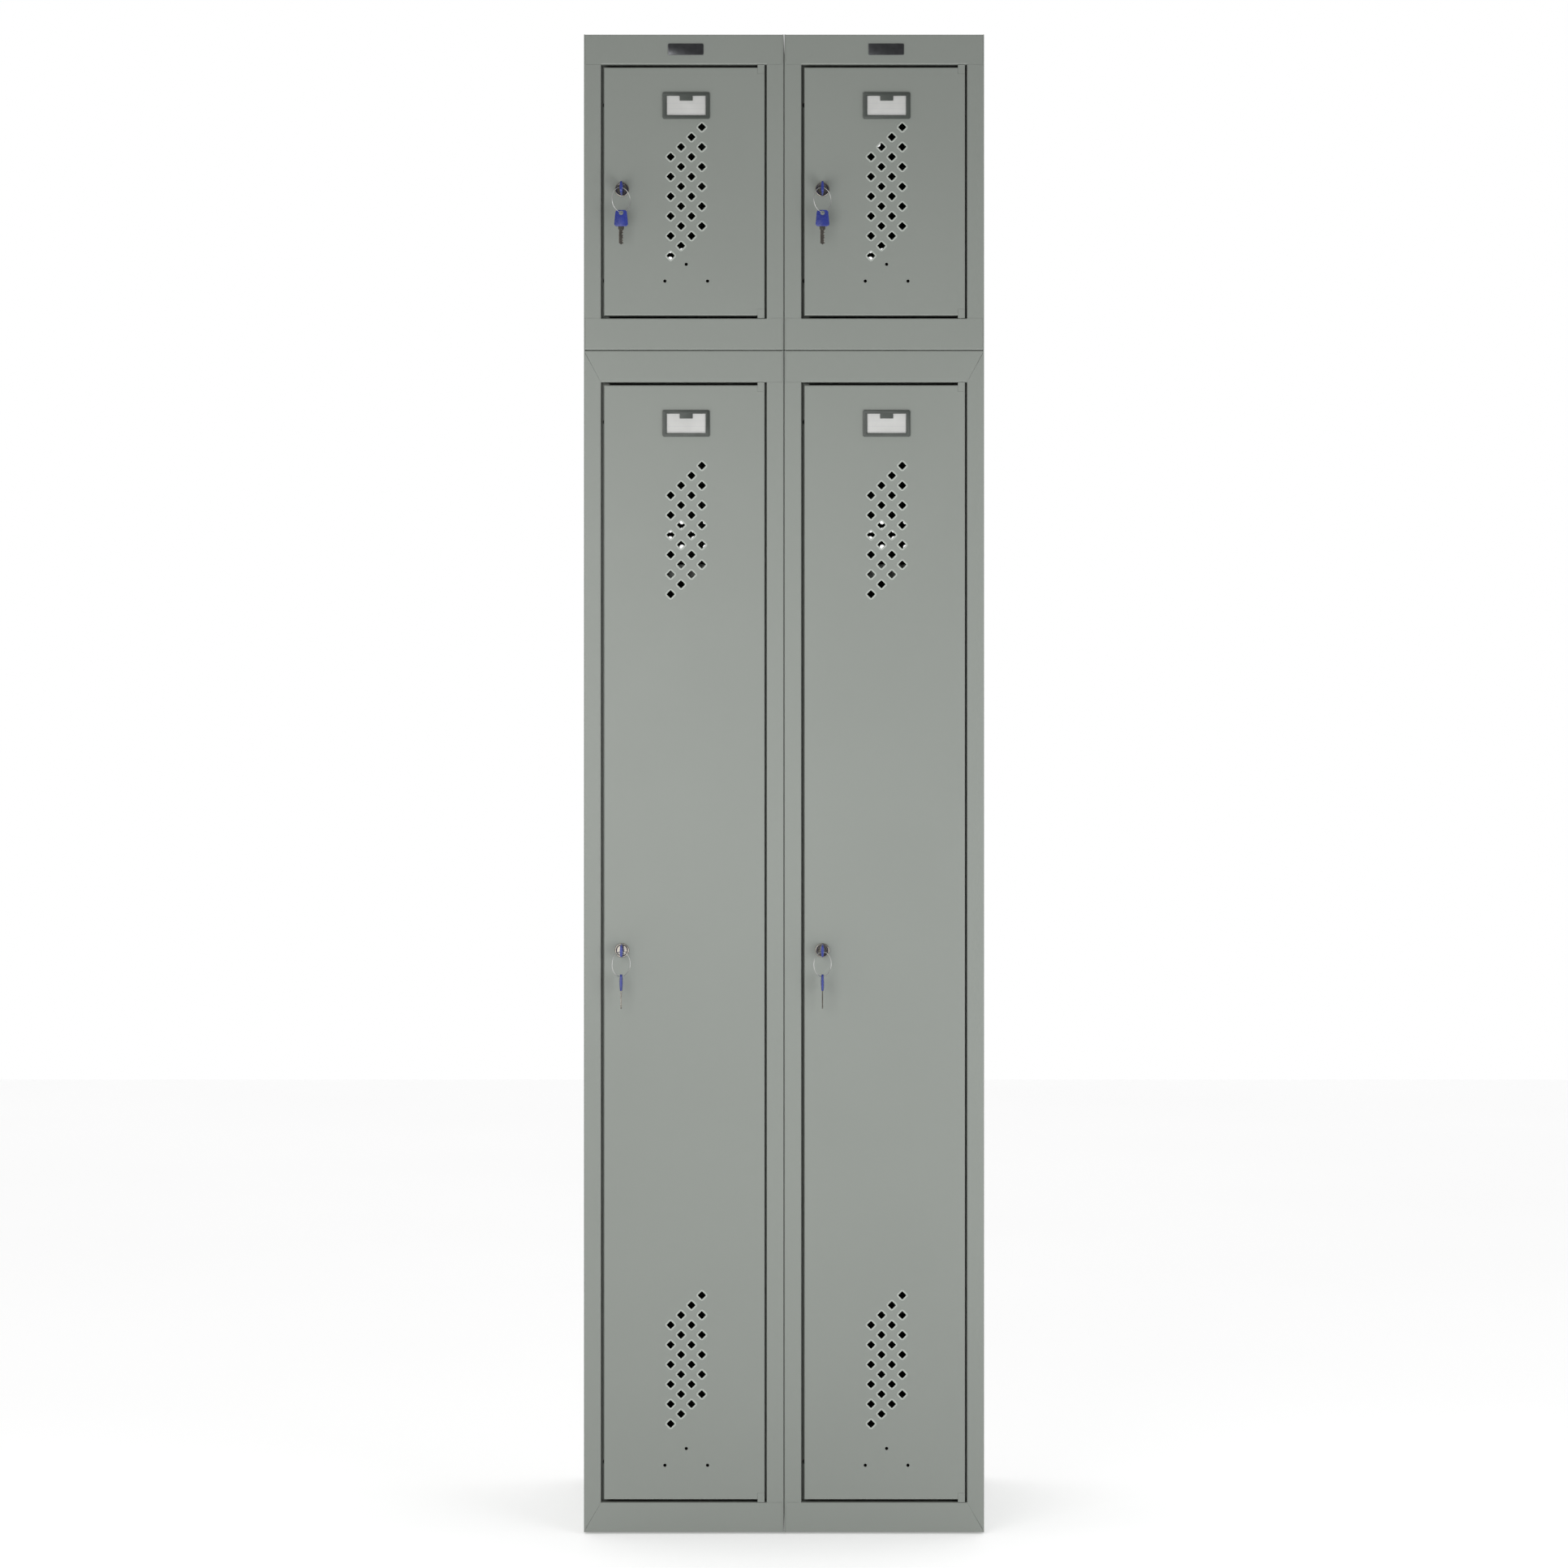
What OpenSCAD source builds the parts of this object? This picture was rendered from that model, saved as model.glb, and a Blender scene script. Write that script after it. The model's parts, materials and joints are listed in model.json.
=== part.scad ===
// Two-column steel locker cabinet: a tall lower unit and a top box in each column.
// The origin is on the floor, under the middle of the whole assembly. The doors face -Y.

/* [Overall size] */
// Width of one column
column_w = 310; // [250:1:450]
// Depth from the front of the frame to the back
depth = 500; // [350:1:650]
// Height of a lower unit, from its bottom edge to the seam under the top box
lower_h = 1829; // [1400:1:2200]
// Height of a top box
upper_h = 488; // [400:1:800]
// Height of the feet under the lower units
foot_h = 3; // [2:0.5:20]

/* [Sheet metal] */
// Thickness of the steel sheet
sheet = 0.8; // [0.6:0.1:1.2]
// Outside radius of each folded corner
bend_r = 2; // [1.6:0.1:3]
// Seam between neighbouring units
seam = 0.8; // [0.4:0.1:2]
// Clearance between welded sheets
joint_gap = 0.2; // [0.1:0.05:0.3]
// Width of the frame's upright beside a door
stile_w = 26.5; // [20:0.5:40]
// Height of the rails at the very top and bottom
rail_h = 46.3; // [32:0.1:80]
// Height of the two rails that meet at the seam between the units
mid_rail_h = 49; // [32:0.5:80]
// Width of the door stop behind each upright
stop_w = 12; // [10:1:20]
// Depth of the lip behind a rail that holds a hinge pin
lip_d = 22; // [18:1:40]
// Width of the side panel's fold behind the back panel
back_fold = 14; // [10:1:25]
// Width of the side panel's foot fold
foot_fold = 24; // [22:1:40]
// Inset of the foot holes from the front and the back
foot_inset = 34; // [32:1:60]
// Width of the open slit along a mitred corner
mitre_gap = 0.9; // [0.3:0.1:1]

/* [Doors] */
// Gap beside the lock edge of a door
gap_lock = 4.5; // [3:0.1:6]
// Gap beside the hinge edge of a door
gap_hinge = 3; // [2.8:0.1:5]
// Gap above and below a door
gap_v = 4.5; // [3:0.1:6]
// Depth of the folded door
door_d = 18; // [16:0.5:25]
// Width of the lips folded in behind a door's edges
door_lip = 10; // [6:1:16]
// Distance of the hinge axis from the door's front and from its edge
pivot_in = 6; // [5.5:0.1:7]
// Radius of a hinge pin
pin_r = 3; // [2.5:0.1:4]
// Radial play of a pin in its hole
pin_fit = 0.06; // [0.03:0.01:0.1]
// Width of a hinge lug
lug_w = 11; // [10.5:0.1:14]
// Depth of a hinge lug
lug_d = 12; // [11:0.1:15]
// Length of a hinge lug inside the door
lug_in = 10; // [8:0.5:16]
// Play between a hinge lug and the rail
lug_play = 0.4; // [0.3:0.1:1]
// Thickness of the rubber buffers on the door stop
buffer_t = 2; // [1:0.5:4]
// Distance from the middle of a door to the middle of its stiffener
stiffener_off = 73; // [60:1:90]
// Width of the stiffener's hollow
stiffener_w = 26; // [16:1:40]
// Depth of the stiffener
stiffener_d = 13; // [8:1:15]

/* [Vents and small holes] */
// Side of a square door vent, which stands on its corner
vent_side = 9.3; // [6:0.1:11]
// Distance between the vent columns
vent_px = 16.1; // [15:0.1:20]
// Distance between the vents of one column
vent_pz = 30.6; // [28:0.1:40]
// Number of vent columns
vent_cols = 4; // [2:1:5]
// Number of vents in a column
vent_rows = 6; // [3:1:7]
// Shift of the vents, the label and the plate to the right of the door's middle
pattern_off = 3; // [0:0.5:6]
// Distance from a tall door's top to the middle of its upper vents
vent_drop = 224; // [215:1:400]
// Height of the middle of the lower vents in a tall door
vent_low = 216.5; // [205:0.5:400]
// Radius of the small accessory holes
acc_r = 2.5; // [1.5:0.5:4]
// Distance between the two lowest accessory holes
acc_w = 66; // [40:1:90]
// Height of the two lowest accessory holes in a door
acc_z = 53; // [30:1:60]
// Height of the third accessory hole above the other two
acc_rise = 26; // [10:1:40]
// Radius of a vent in the back
back_vent_r = 4; // [2:0.5:6]
// Distance between the back vents along a row
back_vent_px = 19.7; // [16:0.1:25]
// Distance between the rows of back vents
back_vent_pz = 14.1; // [13:0.1:25]
// Distance from the top of a unit to the middle of its back vents: lower, upper
back_vent_drop = [252.5, 287]; // [150:0.5:320]
// Shift of the back vents to the right of each back's middle: left column, right column
back_vent_off = [11, -3]; // [-12:0.5:12]

/* [Locks and keys] */
// Distance from a door's edge to its lock
lock_in = 28; // [24:1:40]
// Height of a lock above its door's bottom edge: lower, upper
lock_z = [849.5, 194.5]; // [100:0.5:1000]
// Radius of the lock's bezel
bezel_r = 11; // [10:0.5:14]
// Thickness of the lock's bezel
bezel_t = 3; // [2:0.5:5]
// Radius of the lock's barrel
barrel_r = 9.3; // [8.5:0.1:9.5]
// Radius of the plug that turns in the barrel
plug_r = 6; // [5:0.1:6.5]
// Radial play of the plug
plug_fit = 0.08; // [0.04:0.01:0.1]
// Distance that the cam reaches from the lock's axis
cam_reach = 31; // [28:0.5:34]
// Width of the cam
cam_w = 13; // [10:0.5:15]
// Thickness of the cam
cam_t = 2; // [1.5:0.5:3]
// Width of a key's bow
bow_w = 22; // [16:0.5:26]
// Length of a key's bow
bow_l = 25; // [18:0.5:30]
// Thickness of a key's bow
bow_t = 3.2; // [2.4:0.1:3.4]
// Length of a key's blade
blade_l = 28; // [24:0.5:29]
// Width of a key's blade
blade_w = 7; // [5:0.5:8]
// Thickness of a key's blade
blade_t = 1.8; // [1.2:0.1:2]
// Play of the blade in the keyway
key_play = 0.3; // [0.2:0.05:0.5]
// Radius of the hole in a bow
bow_hole_r = 3.4; // [3.4:0.1:4]
// Mean radius of the wire ring that joins two keys
ring_r = 19; // [14:0.5:25]
// Radius of the ring's wire
wire_r = 0.8; // [0.5:0.1:0.8]

/* [Fittings] */
// Distance from the top of a tall door opening to the hat shelf
shelf_drop = 280; // [220:1:400]
// Distance from the hat shelf to the coat rail below it
rail_drop = 70; // [50:1:100]
// Radius of the coat rail
rail_r = 8; // [6:0.5:12]
// Distance from the hat shelf to the coat hooks
hook_drop = 130; // [110:1:200]
// Width of a label holder
label_w = 73; // [60:1:90]
// Height of a label holder
label_h = 41; // [30:1:50]
// Distance from a door's top to the middle of its label holder
label_drop = 59.5; // [45:0.5:80]
// Width of the plates on the top rails
plate_w = 55; // [40:1:80]
// Height of the plates on the top rails
plate_h = 17.5; // [10:0.5:24]
// Radius of the joining bolts
bolt_r = 3; // [2:0.5:4]
// Inset of the joining bolts from the front and the back
bolt_inset = 60; // [50:1:100]
// Heights of the joining bolts: lower units
bolt_z_lower = [250, 1450]; // [150:1:1500]
// Heights of the joining bolts: top boxes
bolt_z_upper = [110, 380]; // [80:1:400]
// Height of the wall-fixing hole in each unit's back: lower, upper
wall_z = [1700, 400]; // [300:1:1800]
// Radius of the wall-fixing holes
wall_r = 4; // [3:0.5:6]

/* [Hidden] */
$fn = 48;

LOWER = 0;
UPPER = 1;
LEFT = 0;
RIGHT = 1;
paint = "#8f968e";
steel = "#a9abab";
nickel = "#c9c9c4";
plastic = "#3c4040";
key_blue = "#34439c";

// Sizes of the units and their doors
unit_w = column_w - seam;
edge = sheet + joint_gap;
function unit_h(tier) = tier == LOWER ? lower_h - seam : upper_h;
function unit_z(tier) = tier == LOWER ? foot_h : foot_h + lower_h;
function floor_rail(tier) = tier == LOWER ? rail_h : mid_rail_h;
function roof_rail(tier) = tier == LOWER ? mid_rail_h : rail_h;
function unit_x(col) = col == LEFT ? seam / 2 - column_w : seam / 2;
door_w = unit_w - 2 * stile_w - gap_lock - gap_hinge;
function door_h(tier) = unit_h(tier) - rail_h - mid_rail_h - 2 * gap_v;
stop_play = 0.2;
return_d = door_d + stop_play + buffer_t + sheet;
plate_d = depth - 2 * sheet - 2 * joint_gap;
pivot_x = unit_w - stile_w - gap_hinge - pivot_in;
foot_x = (foot_fold + sheet) / 2;
function mitre_z(x, rail) = x * rail / stile_w;

// Feet, pins, buffers
foot_r = 9;
stem_r = 3.9;
foot_hole_r = 4;
pin_head_r = 5;
pin_head_t = 2;
pin_end = 2;
buffer_r = 4;
buffer_z = 60;

// Lock and keys
cam_y = return_d + 0.9;
plug_proud = 2.5;
plug_neck_r = 4;
neck_play = 0.05;
plug_back = 0.3;
bow_y = 8.5;
hole_end = 4.5;
hang = 1.2;
ring_tilt = 45;
blade_in = 2;
shoulder_w = 9;
shoulder_l = 5;
key_hole_y = bow_y + bow_l - hole_end;
proud = key_hole_y + ring_r * sin(ring_tilt) + wire_r;
front_y = (proud - depth) / 2;

// Shelf, rail and hooks
shelf_y = return_d + 6;
shelf_fold = 22;
side_fold = 15;
shelf_z = unit_h(LOWER) - mid_rail_h - shelf_drop;
tube_t = 1.2;
cup_r = 16;
cup_t = 2;
cup_l = 12;
cup_fit = 0.1;
hook_y = 170;
hook_r = 2.5;
hook_bend = 9;
hook_arm = 14;

// Bolts and nuts
bolt_head_r = 5.5;
bolt_head_t = 3;
nut_r = 5.8;
nut_t = 4;
nut_cap_t = 1;
bolt_len = seam + 2 * sheet + nut_t - nut_cap_t - 0.3;
bolt_play = 0.2;

// ---------- places ----------

module at_unit(tier, col) {
    translate([unit_x(col), front_y, unit_z(tier)]) children();
}

module at_door(tier, col) {
    at_unit(tier, col) translate([stile_w + gap_lock, 0, floor_rail(tier) + gap_v]) children();
}

module at_lock(tier, col) {
    at_door(tier, col) translate([lock_in, 0, lock_z[tier]]) children();
}

module at_key_hole(tier, col) {
    at_lock(tier, col) translate([0, -key_hole_y, 0]) children();
}

// ---------- shapes that repeat ----------

// A rod along +Y, from y0
module rod_y(r, y0, length) {
    translate([0, y0, 0]) rotate([-90, 0, 0]) cylinder(r = r, h = length);
}

// A rod along +X, from x0
module rod_x(r, x0, length) {
    translate([x0, 0, 0]) rotate([0, 90, 0]) cylinder(r = r, h = length);
}

// Extrudes a profile drawn in (y, z) along X, from x0 to x1
module run_x(x0, x1) {
    translate([x0, 0, 0]) rotate([90, 0, 90]) linear_extrude(x1 - x0) children();
}

// Extrudes an outline drawn in (x, z) backwards from y0
module slab_y(y0, thickness) {
    translate([0, y0 + thickness, 0]) rotate([90, 0, 0]) linear_extrude(thickness) children();
}

// A folded sheet's corner: outside at the origin, legs along both axes
module bend() {
    intersection() {
        translate([bend_r, bend_r]) difference() {
            circle(bend_r);
            circle(bend_r - sheet);
        }
        square(bend_r);
    }
}

// A rectangle whose two corners at y = 0 are rounded
module front_rounded(w, d, r) {
    translate([0, r]) square([w, d - r]);
    translate([r, 0]) square([w - 2 * r, r]);
    for (x = [r, w - r]) translate([x, r]) circle(r);
}

// A block whose front edges are rounded on all four sides
module rounded_block(w, h, d, r) {
    intersection() {
        linear_extrude(h) front_rounded(w, d, r);
        run_x(0, w) mirror([1, -1]) front_rounded(h, d, r);
    }
}

// A centred rectangle with round corners
module rounded_rect(w, h, r) {
    square([w - 2 * r, h], center = true);
    square([w, h - 2 * r], center = true);
    for (x = [-1, 1]) for (y = [-1, 1]) translate([x * (w / 2 - r), y * (h / 2 - r)]) circle(r);
}

module hex_nut(r, t, bore) {
    difference() {
        cylinder(r = r, h = t, $fn = 6);
        translate([0, 0, -1]) cylinder(r = bore, h = t + 2);
    }
}

// ---------- the four units ----------

module wall_profile() {
    translate([0, bend_r]) square([sheet, depth - bend_r]);
    bend();
    translate([0, depth - sheet]) square([back_fold, sheet]);
}

module upright_profile() {
    translate([bend_r, 0]) square([stile_w - 2 * bend_r, sheet]);
    translate([stile_w, 0]) mirror([1, 0]) bend();
    translate([stile_w - sheet, bend_r]) square([sheet, return_d - bend_r]);
    translate([stile_w - sheet, return_d - sheet]) square([stop_w + sheet, sheet]);
}

// The upright's end at a mitred corner, drawn for the bottom
module mitre_tongue(rail) {
    top = rail + joint_gap;
    slab_y(0, sheet)
        polygon([[bend_r, mitre_z(bend_r, rail) + mitre_gap], [stile_w, top], [bend_r, top]]);
}

module side_panel(tier, mitred, joined) {
    h = unit_h(tier);
    from = floor_rail(tier) + joint_gap;
    to = h - roof_rail(tier) - joint_gap;
    difference() {
        union() {
            linear_extrude(h) wall_profile();
            translate([0, 0, from]) linear_extrude(to - from) upright_profile();
            translate([0, lip_d + 2, 0]) cube([foot_fold, depth - 2 * lip_d - 4, sheet]);
            if (mitred) {
                mitre_tongue(floor_rail(tier));
                translate([0, 0, h]) mirror([0, 0, 1]) mitre_tongue(roof_rail(tier));
            }
        }
        if (joined)
            for (y = [bolt_inset, depth - bolt_inset])
                for (z = tier == LOWER ? bolt_z_lower : bolt_z_upper)
                    translate([0, y, z]) rod_x(bolt_r + bolt_play, -1, sheet + 2);
        for (y = [foot_inset, depth - foot_inset])
            translate([foot_x, y, -1]) cylinder(r = foot_hole_r, h = sheet + 2);
    }
}

// A unit's left side is joined to its neighbour in the right column
module left_side(tier, col) {
    color(paint) at_unit(tier, col)
        side_panel(tier, tier == LOWER && col == LEFT, col == RIGHT);
}

// A unit's right side is joined to its neighbour in the left column
module right_side(tier, col) {
    color(paint) at_unit(tier, col) translate([unit_w, 0, 0]) mirror([1, 0, 0])
        side_panel(tier, tier == LOWER && col == RIGHT, col == LEFT);
}

// A front rail with a leg folded back from each edge. Drawn for the bottom of a unit
module rail_body(rail, outer_leg, opening_leg, mitred) {
    a = bend_r + joint_gap;
    b = unit_w - a;
    s = stile_w;
    corner = mitred ? [a, mitre_z(a, rail)] : [a, rail];
    slab_y(0, sheet) polygon([
        [a, bend_r], corner, [s, rail], [s, rail - bend_r],
        [unit_w - s, rail - bend_r], [unit_w - s, rail], [b, rail], [b, bend_r]]);
    run_x(a, b) bend();
    run_x(edge, unit_w - edge) translate([bend_r, 0]) square([outer_leg - bend_r, sheet]);
    run_x(s, unit_w - s) translate([0, rail]) mirror([0, 1]) bend();
    run_x(edge, unit_w - edge)
        translate([bend_r, rail - sheet]) square([opening_leg - bend_r, sheet]);
}

module rail_panel(tier, col, rail, outer_leg, opening_leg) {
    difference() {
        translate([col == RIGHT ? unit_w : 0, 0, 0]) mirror([col == RIGHT ? 1 : 0, 0, 0])
            rail_body(rail, outer_leg, opening_leg, tier == LOWER);
        translate([pivot_x, pivot_in, rail - sheet - 1])
            cylinder(r = pin_r + pin_fit, h = sheet + 2);
    }
}

module floors(tier) {
    color(paint) for (col = [LEFT, RIGHT])
        at_unit(tier, col) rail_panel(tier, col, floor_rail(tier), lip_d, plate_d);
}

module roofs(tier) {
    color(paint) for (col = [LEFT, RIGHT]) at_unit(tier, col) difference() {
        translate([0, 0, unit_h(tier)]) mirror([0, 0, 1])
            rail_panel(tier, col, roof_rail(tier), plate_d, lip_d);
        if (tier == LOWER)
            for (x = [foot_x, unit_w - foot_x]) for (y = [foot_inset, depth - foot_inset])
                translate([x, y, unit_h(tier) - sheet - 1]) cylinder(r = foot_hole_r, h = sheet + 2);
    }
}

module back_outline(tier, col) {
    cols = floor((unit_w - 5.5 * stile_w) / back_vent_px);
    difference() {
        translate([edge, 0]) square([unit_w - 2 * edge, unit_h(tier)]);
        for (i = [0 : cols - 1]) for (j = [0 : 3])
            translate([unit_w / 2 + back_vent_off[col] + (i - (cols - 1) / 2) * back_vent_px,
                       unit_h(tier) - back_vent_drop[tier] + (j - 1.5) * back_vent_pz])
                circle(back_vent_r);
        translate([unit_w / 2, wall_z[tier]]) circle(wall_r);
    }
}

module back(tier, col) {
    color(paint) at_unit(tier, col)
        slab_y(depth - 2 * sheet - joint_gap, sheet) back_outline(tier, col);
}

// ---------- fittings of the units ----------

module shelf_profile() {
    translate([bend_r, -sheet]) square([plate_d - shelf_y - bend_r, sheet]);
    mirror([0, 1]) bend();
    translate([0, -shelf_fold]) square([sheet, shelf_fold - bend_r]);
}

module hat_shelves() {
    fold_l = plate_d - shelf_y - 2 * bend_r;
    color(paint) for (col = [LEFT, RIGHT]) at_unit(LOWER, col) translate([0, shelf_y, shelf_z]) {
        run_x(edge, unit_w - edge) shelf_profile();
        for (x = [edge, unit_w - edge - sheet])
            translate([x, bend_r, -side_fold]) cube([sheet, fold_l, side_fold]);
    }
}

module rail_cup() {
    difference() {
        union() {
            rod_x(cup_r, 0, cup_t);
            rod_x(rail_r + cup_t, 0, cup_l);
        }
        rod_x(rail_r + cup_fit, cup_t, cup_l);
    }
}

module coat_rails() {
    color(steel) for (col = [LEFT, RIGHT])
        at_unit(LOWER, col) translate([0, depth / 2, shelf_z - rail_drop]) {
            difference() {
                rod_x(rail_r, sheet + cup_t, unit_w - 2 * (sheet + cup_t));
                rod_x(rail_r - tube_t, 0, unit_w);
            }
            translate([sheet, 0, 0]) rail_cup();
            translate([unit_w - sheet, 0, 0]) mirror([1, 0, 0]) rail_cup();
        }
}

// A coat hook on a wall at x = 0: a plate, an arm, and a wire bent up to a round tip
module coat_hook() {
    translate([0, -7, -18]) cube([cup_t, 14, 36]);
    rod_x(hook_r, cup_t, hook_arm - cup_t);
    translate([hook_arm, 0, hook_bend]) rotate([90, 0, 0]) rotate([0, 0, -90])
        rotate_extrude(angle = 90) translate([hook_bend, 0]) circle(hook_r);
    translate([hook_arm + hook_bend, 0, hook_bend]) cylinder(r = hook_r, h = 12);
    translate([hook_arm + hook_bend, 0, hook_bend + 12]) sphere(hook_r + 1);
}

module coat_hooks() {
    color(steel) for (col = [LEFT, RIGHT])
        at_unit(LOWER, col) translate([0, hook_y, shelf_z - hook_drop]) {
            translate([sheet, 0, 0]) coat_hook();
            translate([unit_w - sheet, 0, 0]) mirror([1, 0, 0]) coat_hook();
        }
}

module feet() {
    color(plastic) for (col = [LEFT, RIGHT])
        for (x = [foot_x, unit_w - foot_x]) for (y = [foot_inset, depth - foot_inset])
            translate([unit_x(col) + x, front_y + y, 0]) {
                cylinder(r1 = foot_r - 1, r2 = foot_r, h = foot_h);
                cylinder(r = stem_r, h = foot_h + 8);
            }
}

// A cap nut, its bore open at the bottom and closed on top
module cap_nut() {
    difference() {
        cylinder(r = nut_r, h = nut_t, $fn = 6);
        translate([0, 0, -1]) cylinder(r = bolt_r + neck_play, h = nut_t - nut_cap_t + 1);
    }
}

module join_bolt() {
    rod_x(bolt_head_r, -seam / 2 - sheet - bolt_head_t, bolt_head_t);
    rod_x(bolt_r, -seam / 2 - sheet, bolt_len);
    translate([seam / 2 + sheet, 0, 0]) rotate([0, 90, 0]) cap_nut();
}

module stack_bolt() {
    cylinder(r = bolt_head_r, h = bolt_head_t);
    translate([0, 0, -bolt_len]) cylinder(r = bolt_r, h = bolt_len);
    translate([0, 0, -seam - 2 * sheet]) mirror([0, 0, 1]) cap_nut();
}

module joining_bolts() {
    color(steel) {
        for (tier = [LOWER, UPPER]) for (y = [bolt_inset, depth - bolt_inset])
            for (z = tier == LOWER ? bolt_z_lower : bolt_z_upper)
                translate([0, front_y + y, unit_z(tier) + z]) join_bolt();
        for (col = [LEFT, RIGHT]) for (x = [foot_x, unit_w - foot_x])
            for (y = [foot_inset, depth - foot_inset])
                at_unit(UPPER, col) translate([x, y, sheet]) stack_bolt();
    }
}

// A hinge pin standing on a rail's leg, its head under the leg
module hinge_pin() {
    translate([0, 0, -sheet - pin_head_t]) {
        cylinder(r = pin_head_r, h = pin_head_t);
        cylinder(r = pin_r, h = pin_head_t + sheet + gap_v + lug_in - pin_end);
    }
}

module hinge_pins() {
    color(steel) for (tier = [LOWER, UPPER]) for (col = [LEFT, RIGHT])
        at_unit(tier, col) translate([pivot_x, pivot_in, 0]) {
            translate([0, 0, floor_rail(tier)]) hinge_pin();
            translate([0, 0, unit_h(tier) - roof_rail(tier)]) mirror([0, 0, 1]) hinge_pin();
        }
}

module door_buffers() {
    color(plastic) for (tier = [LOWER, UPPER]) for (col = [LEFT, RIGHT]) at_unit(tier, col)
        for (z = [floor_rail(tier) + buffer_z, unit_h(tier) - roof_rail(tier) - buffer_z])
            translate([stile_w + stop_w / 2, 0, z])
                rod_y(buffer_r, return_d - sheet - buffer_t, buffer_t);
}

module nameplates() {
    color(steel) for (col = [LEFT, RIGHT])
        at_unit(UPPER, col)
            translate([unit_w / 2 + pattern_off, 0, unit_h(UPPER) - rail_h / 2])
            slab_y(-1.2, 1.2) rounded_rect(plate_w, plate_h, 2);
}

// ---------- doors ----------

module vent_group(z) {
    for (i = [0 : vent_cols - 1]) for (j = [0 : vent_rows - 1]) {
        across = i - (vent_cols - 1) / 2;
        translate([door_w / 2 + pattern_off + across * vent_px, 0,
                   z + (j - (vent_rows - 1) / 2) * vent_pz + across * vent_pz / 2])
            rotate([0, 45, 0]) cube([vent_side, 4 * sheet, vent_side], center = true);
    }
}

module door_holes(tier) {
    h = door_h(tier);
    vent_group(tier == LOWER ? vent_low : h / 2);
    if (tier == LOWER) vent_group(h - vent_drop);
    translate([lock_in, 0, lock_z[tier]]) rod_y(barrel_r + 0.2, -1, 2 * sheet + 1);
    for (at = [[-acc_w / 2, 0], [acc_w / 2, 0], [0, acc_rise]])
        translate([door_w / 2 + pattern_off + at[0], 0, acc_z + at[1]])
            rod_y(acc_r, -1, 2 * sheet + 1);
}

module door(tier, col) {
    h = door_h(tier);
    notch_w = lug_w + joint_gap;
    notch_d = lug_d + joint_gap;
    color(paint) at_door(tier, col) difference() {
        union() {
            difference() {
                rounded_block(door_w, h, door_d, bend_r);
                translate([sheet, sheet, sheet])
                    rounded_block(door_w - 2 * sheet, h - 2 * sheet, door_d, bend_r - sheet);
            }
            for (x = [0, door_w - door_lip])
                translate([x, door_d - sheet, 0]) cube([door_lip, sheet, h]);
        }
        for (z = [-1, h - lug_in])
            translate([door_w - notch_w, -1, z]) cube([notch_w + 1, notch_d + 1, lug_in + 1]);
        door_holes(tier);
    }
}

module stiffener(tier, col) {
    half = stiffener_w / 2;
    color(paint) at_door(tier, col)
        translate([door_w / 2 + stiffener_off, sheet, 30]) linear_extrude(door_h(tier) - 60) {
            for (x = [-half - 8, half]) translate([x, 0]) square([8, sheet]);
            for (x = [-half, half - sheet]) translate([x, 0]) square([sheet, stiffener_d]);
            translate([-half, stiffener_d - sheet]) square([stiffener_w, sheet]);
        }
}

module lug_outline() {
    difference() {
        union() {
            translate([0, bend_r]) square([lug_w, lug_d - bend_r]);
            square([lug_w - bend_r, bend_r]);
            translate([lug_w - bend_r, bend_r]) circle(bend_r);
        }
        translate([lug_w - pivot_in, pivot_in]) circle(pin_r + pin_fit);
    }
}

module hinge_lugs(tier, col) {
    lug_h = lug_in - joint_gap + gap_v - lug_play;
    color(paint) at_door(tier, col)
        for (z = [lug_play - gap_v, door_h(tier) - lug_in + joint_gap])
            translate([door_w - lug_w, 0, z]) linear_extrude(lug_h) lug_outline();
}

module label_holder(tier, col) {
    frame_t = 2.4;
    color(plastic) at_door(tier, col)
        translate([door_w / 2 + pattern_off, 0, door_h(tier) - label_drop]) {
            difference() {
                slab_y(-frame_t, frame_t) rounded_rect(label_w, label_h, 2.5);
                slab_y(-frame_t - 1, frame_t + 2) square([label_w - 13, label_h - 11], center = true);
                slab_y(-1, 2) square([label_w - 7, label_h - 7], center = true);
            }
            translate([0, 0, label_h / 2 - 9])
                slab_y(-frame_t, 1) square([20, 8], center = true);
        }
}

module lock_barrel(tier, col) {
    color(nickel) at_lock(tier, col) {
        difference() {
            union() {
                translate([0, -bezel_t, 0]) rotate([-90, 0, 0])
                    cylinder(r1 = bezel_r - 1, r2 = bezel_r, h = bezel_t);
                rod_y(barrel_r, 0, return_d);
            }
            rod_y(plug_r + plug_fit, -bezel_t - 1, return_d + bezel_t + 2);
        }
        translate([0, sheet, 0]) rotate([-90, 0, 0]) hex_nut(13, 4, barrel_r + 0.1);
    }
}

// The plug, the cam on its neck and the screw that holds the cam
module lock_plug(tier, col) {
    color(steel) at_lock(tier, col) {
        difference() {
            union() {
                rod_y(plug_r, -plug_proud, return_d + plug_back + plug_proud);
                rod_y(plug_neck_r, return_d, cam_y - return_d + cam_t);
            }
            translate([-blade_t / 2 - key_play, -plug_proud - 1, -blade_w / 2 - key_play])
                cube([blade_t + 2 * key_play, return_d + plug_proud, blade_w + 2 * key_play]);
        }
        difference() {
            slab_y(cam_y, cam_t) union() {
                circle(plug_neck_r + 4);
                translate([-cam_w / 2, 0]) square([cam_w, cam_reach]);
            }
            rod_y(plug_neck_r + neck_play, cam_y - 1, cam_t + 2);
        }
        rod_y(plug_neck_r + 1.5, cam_y + cam_t, 2);
    }
}

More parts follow.
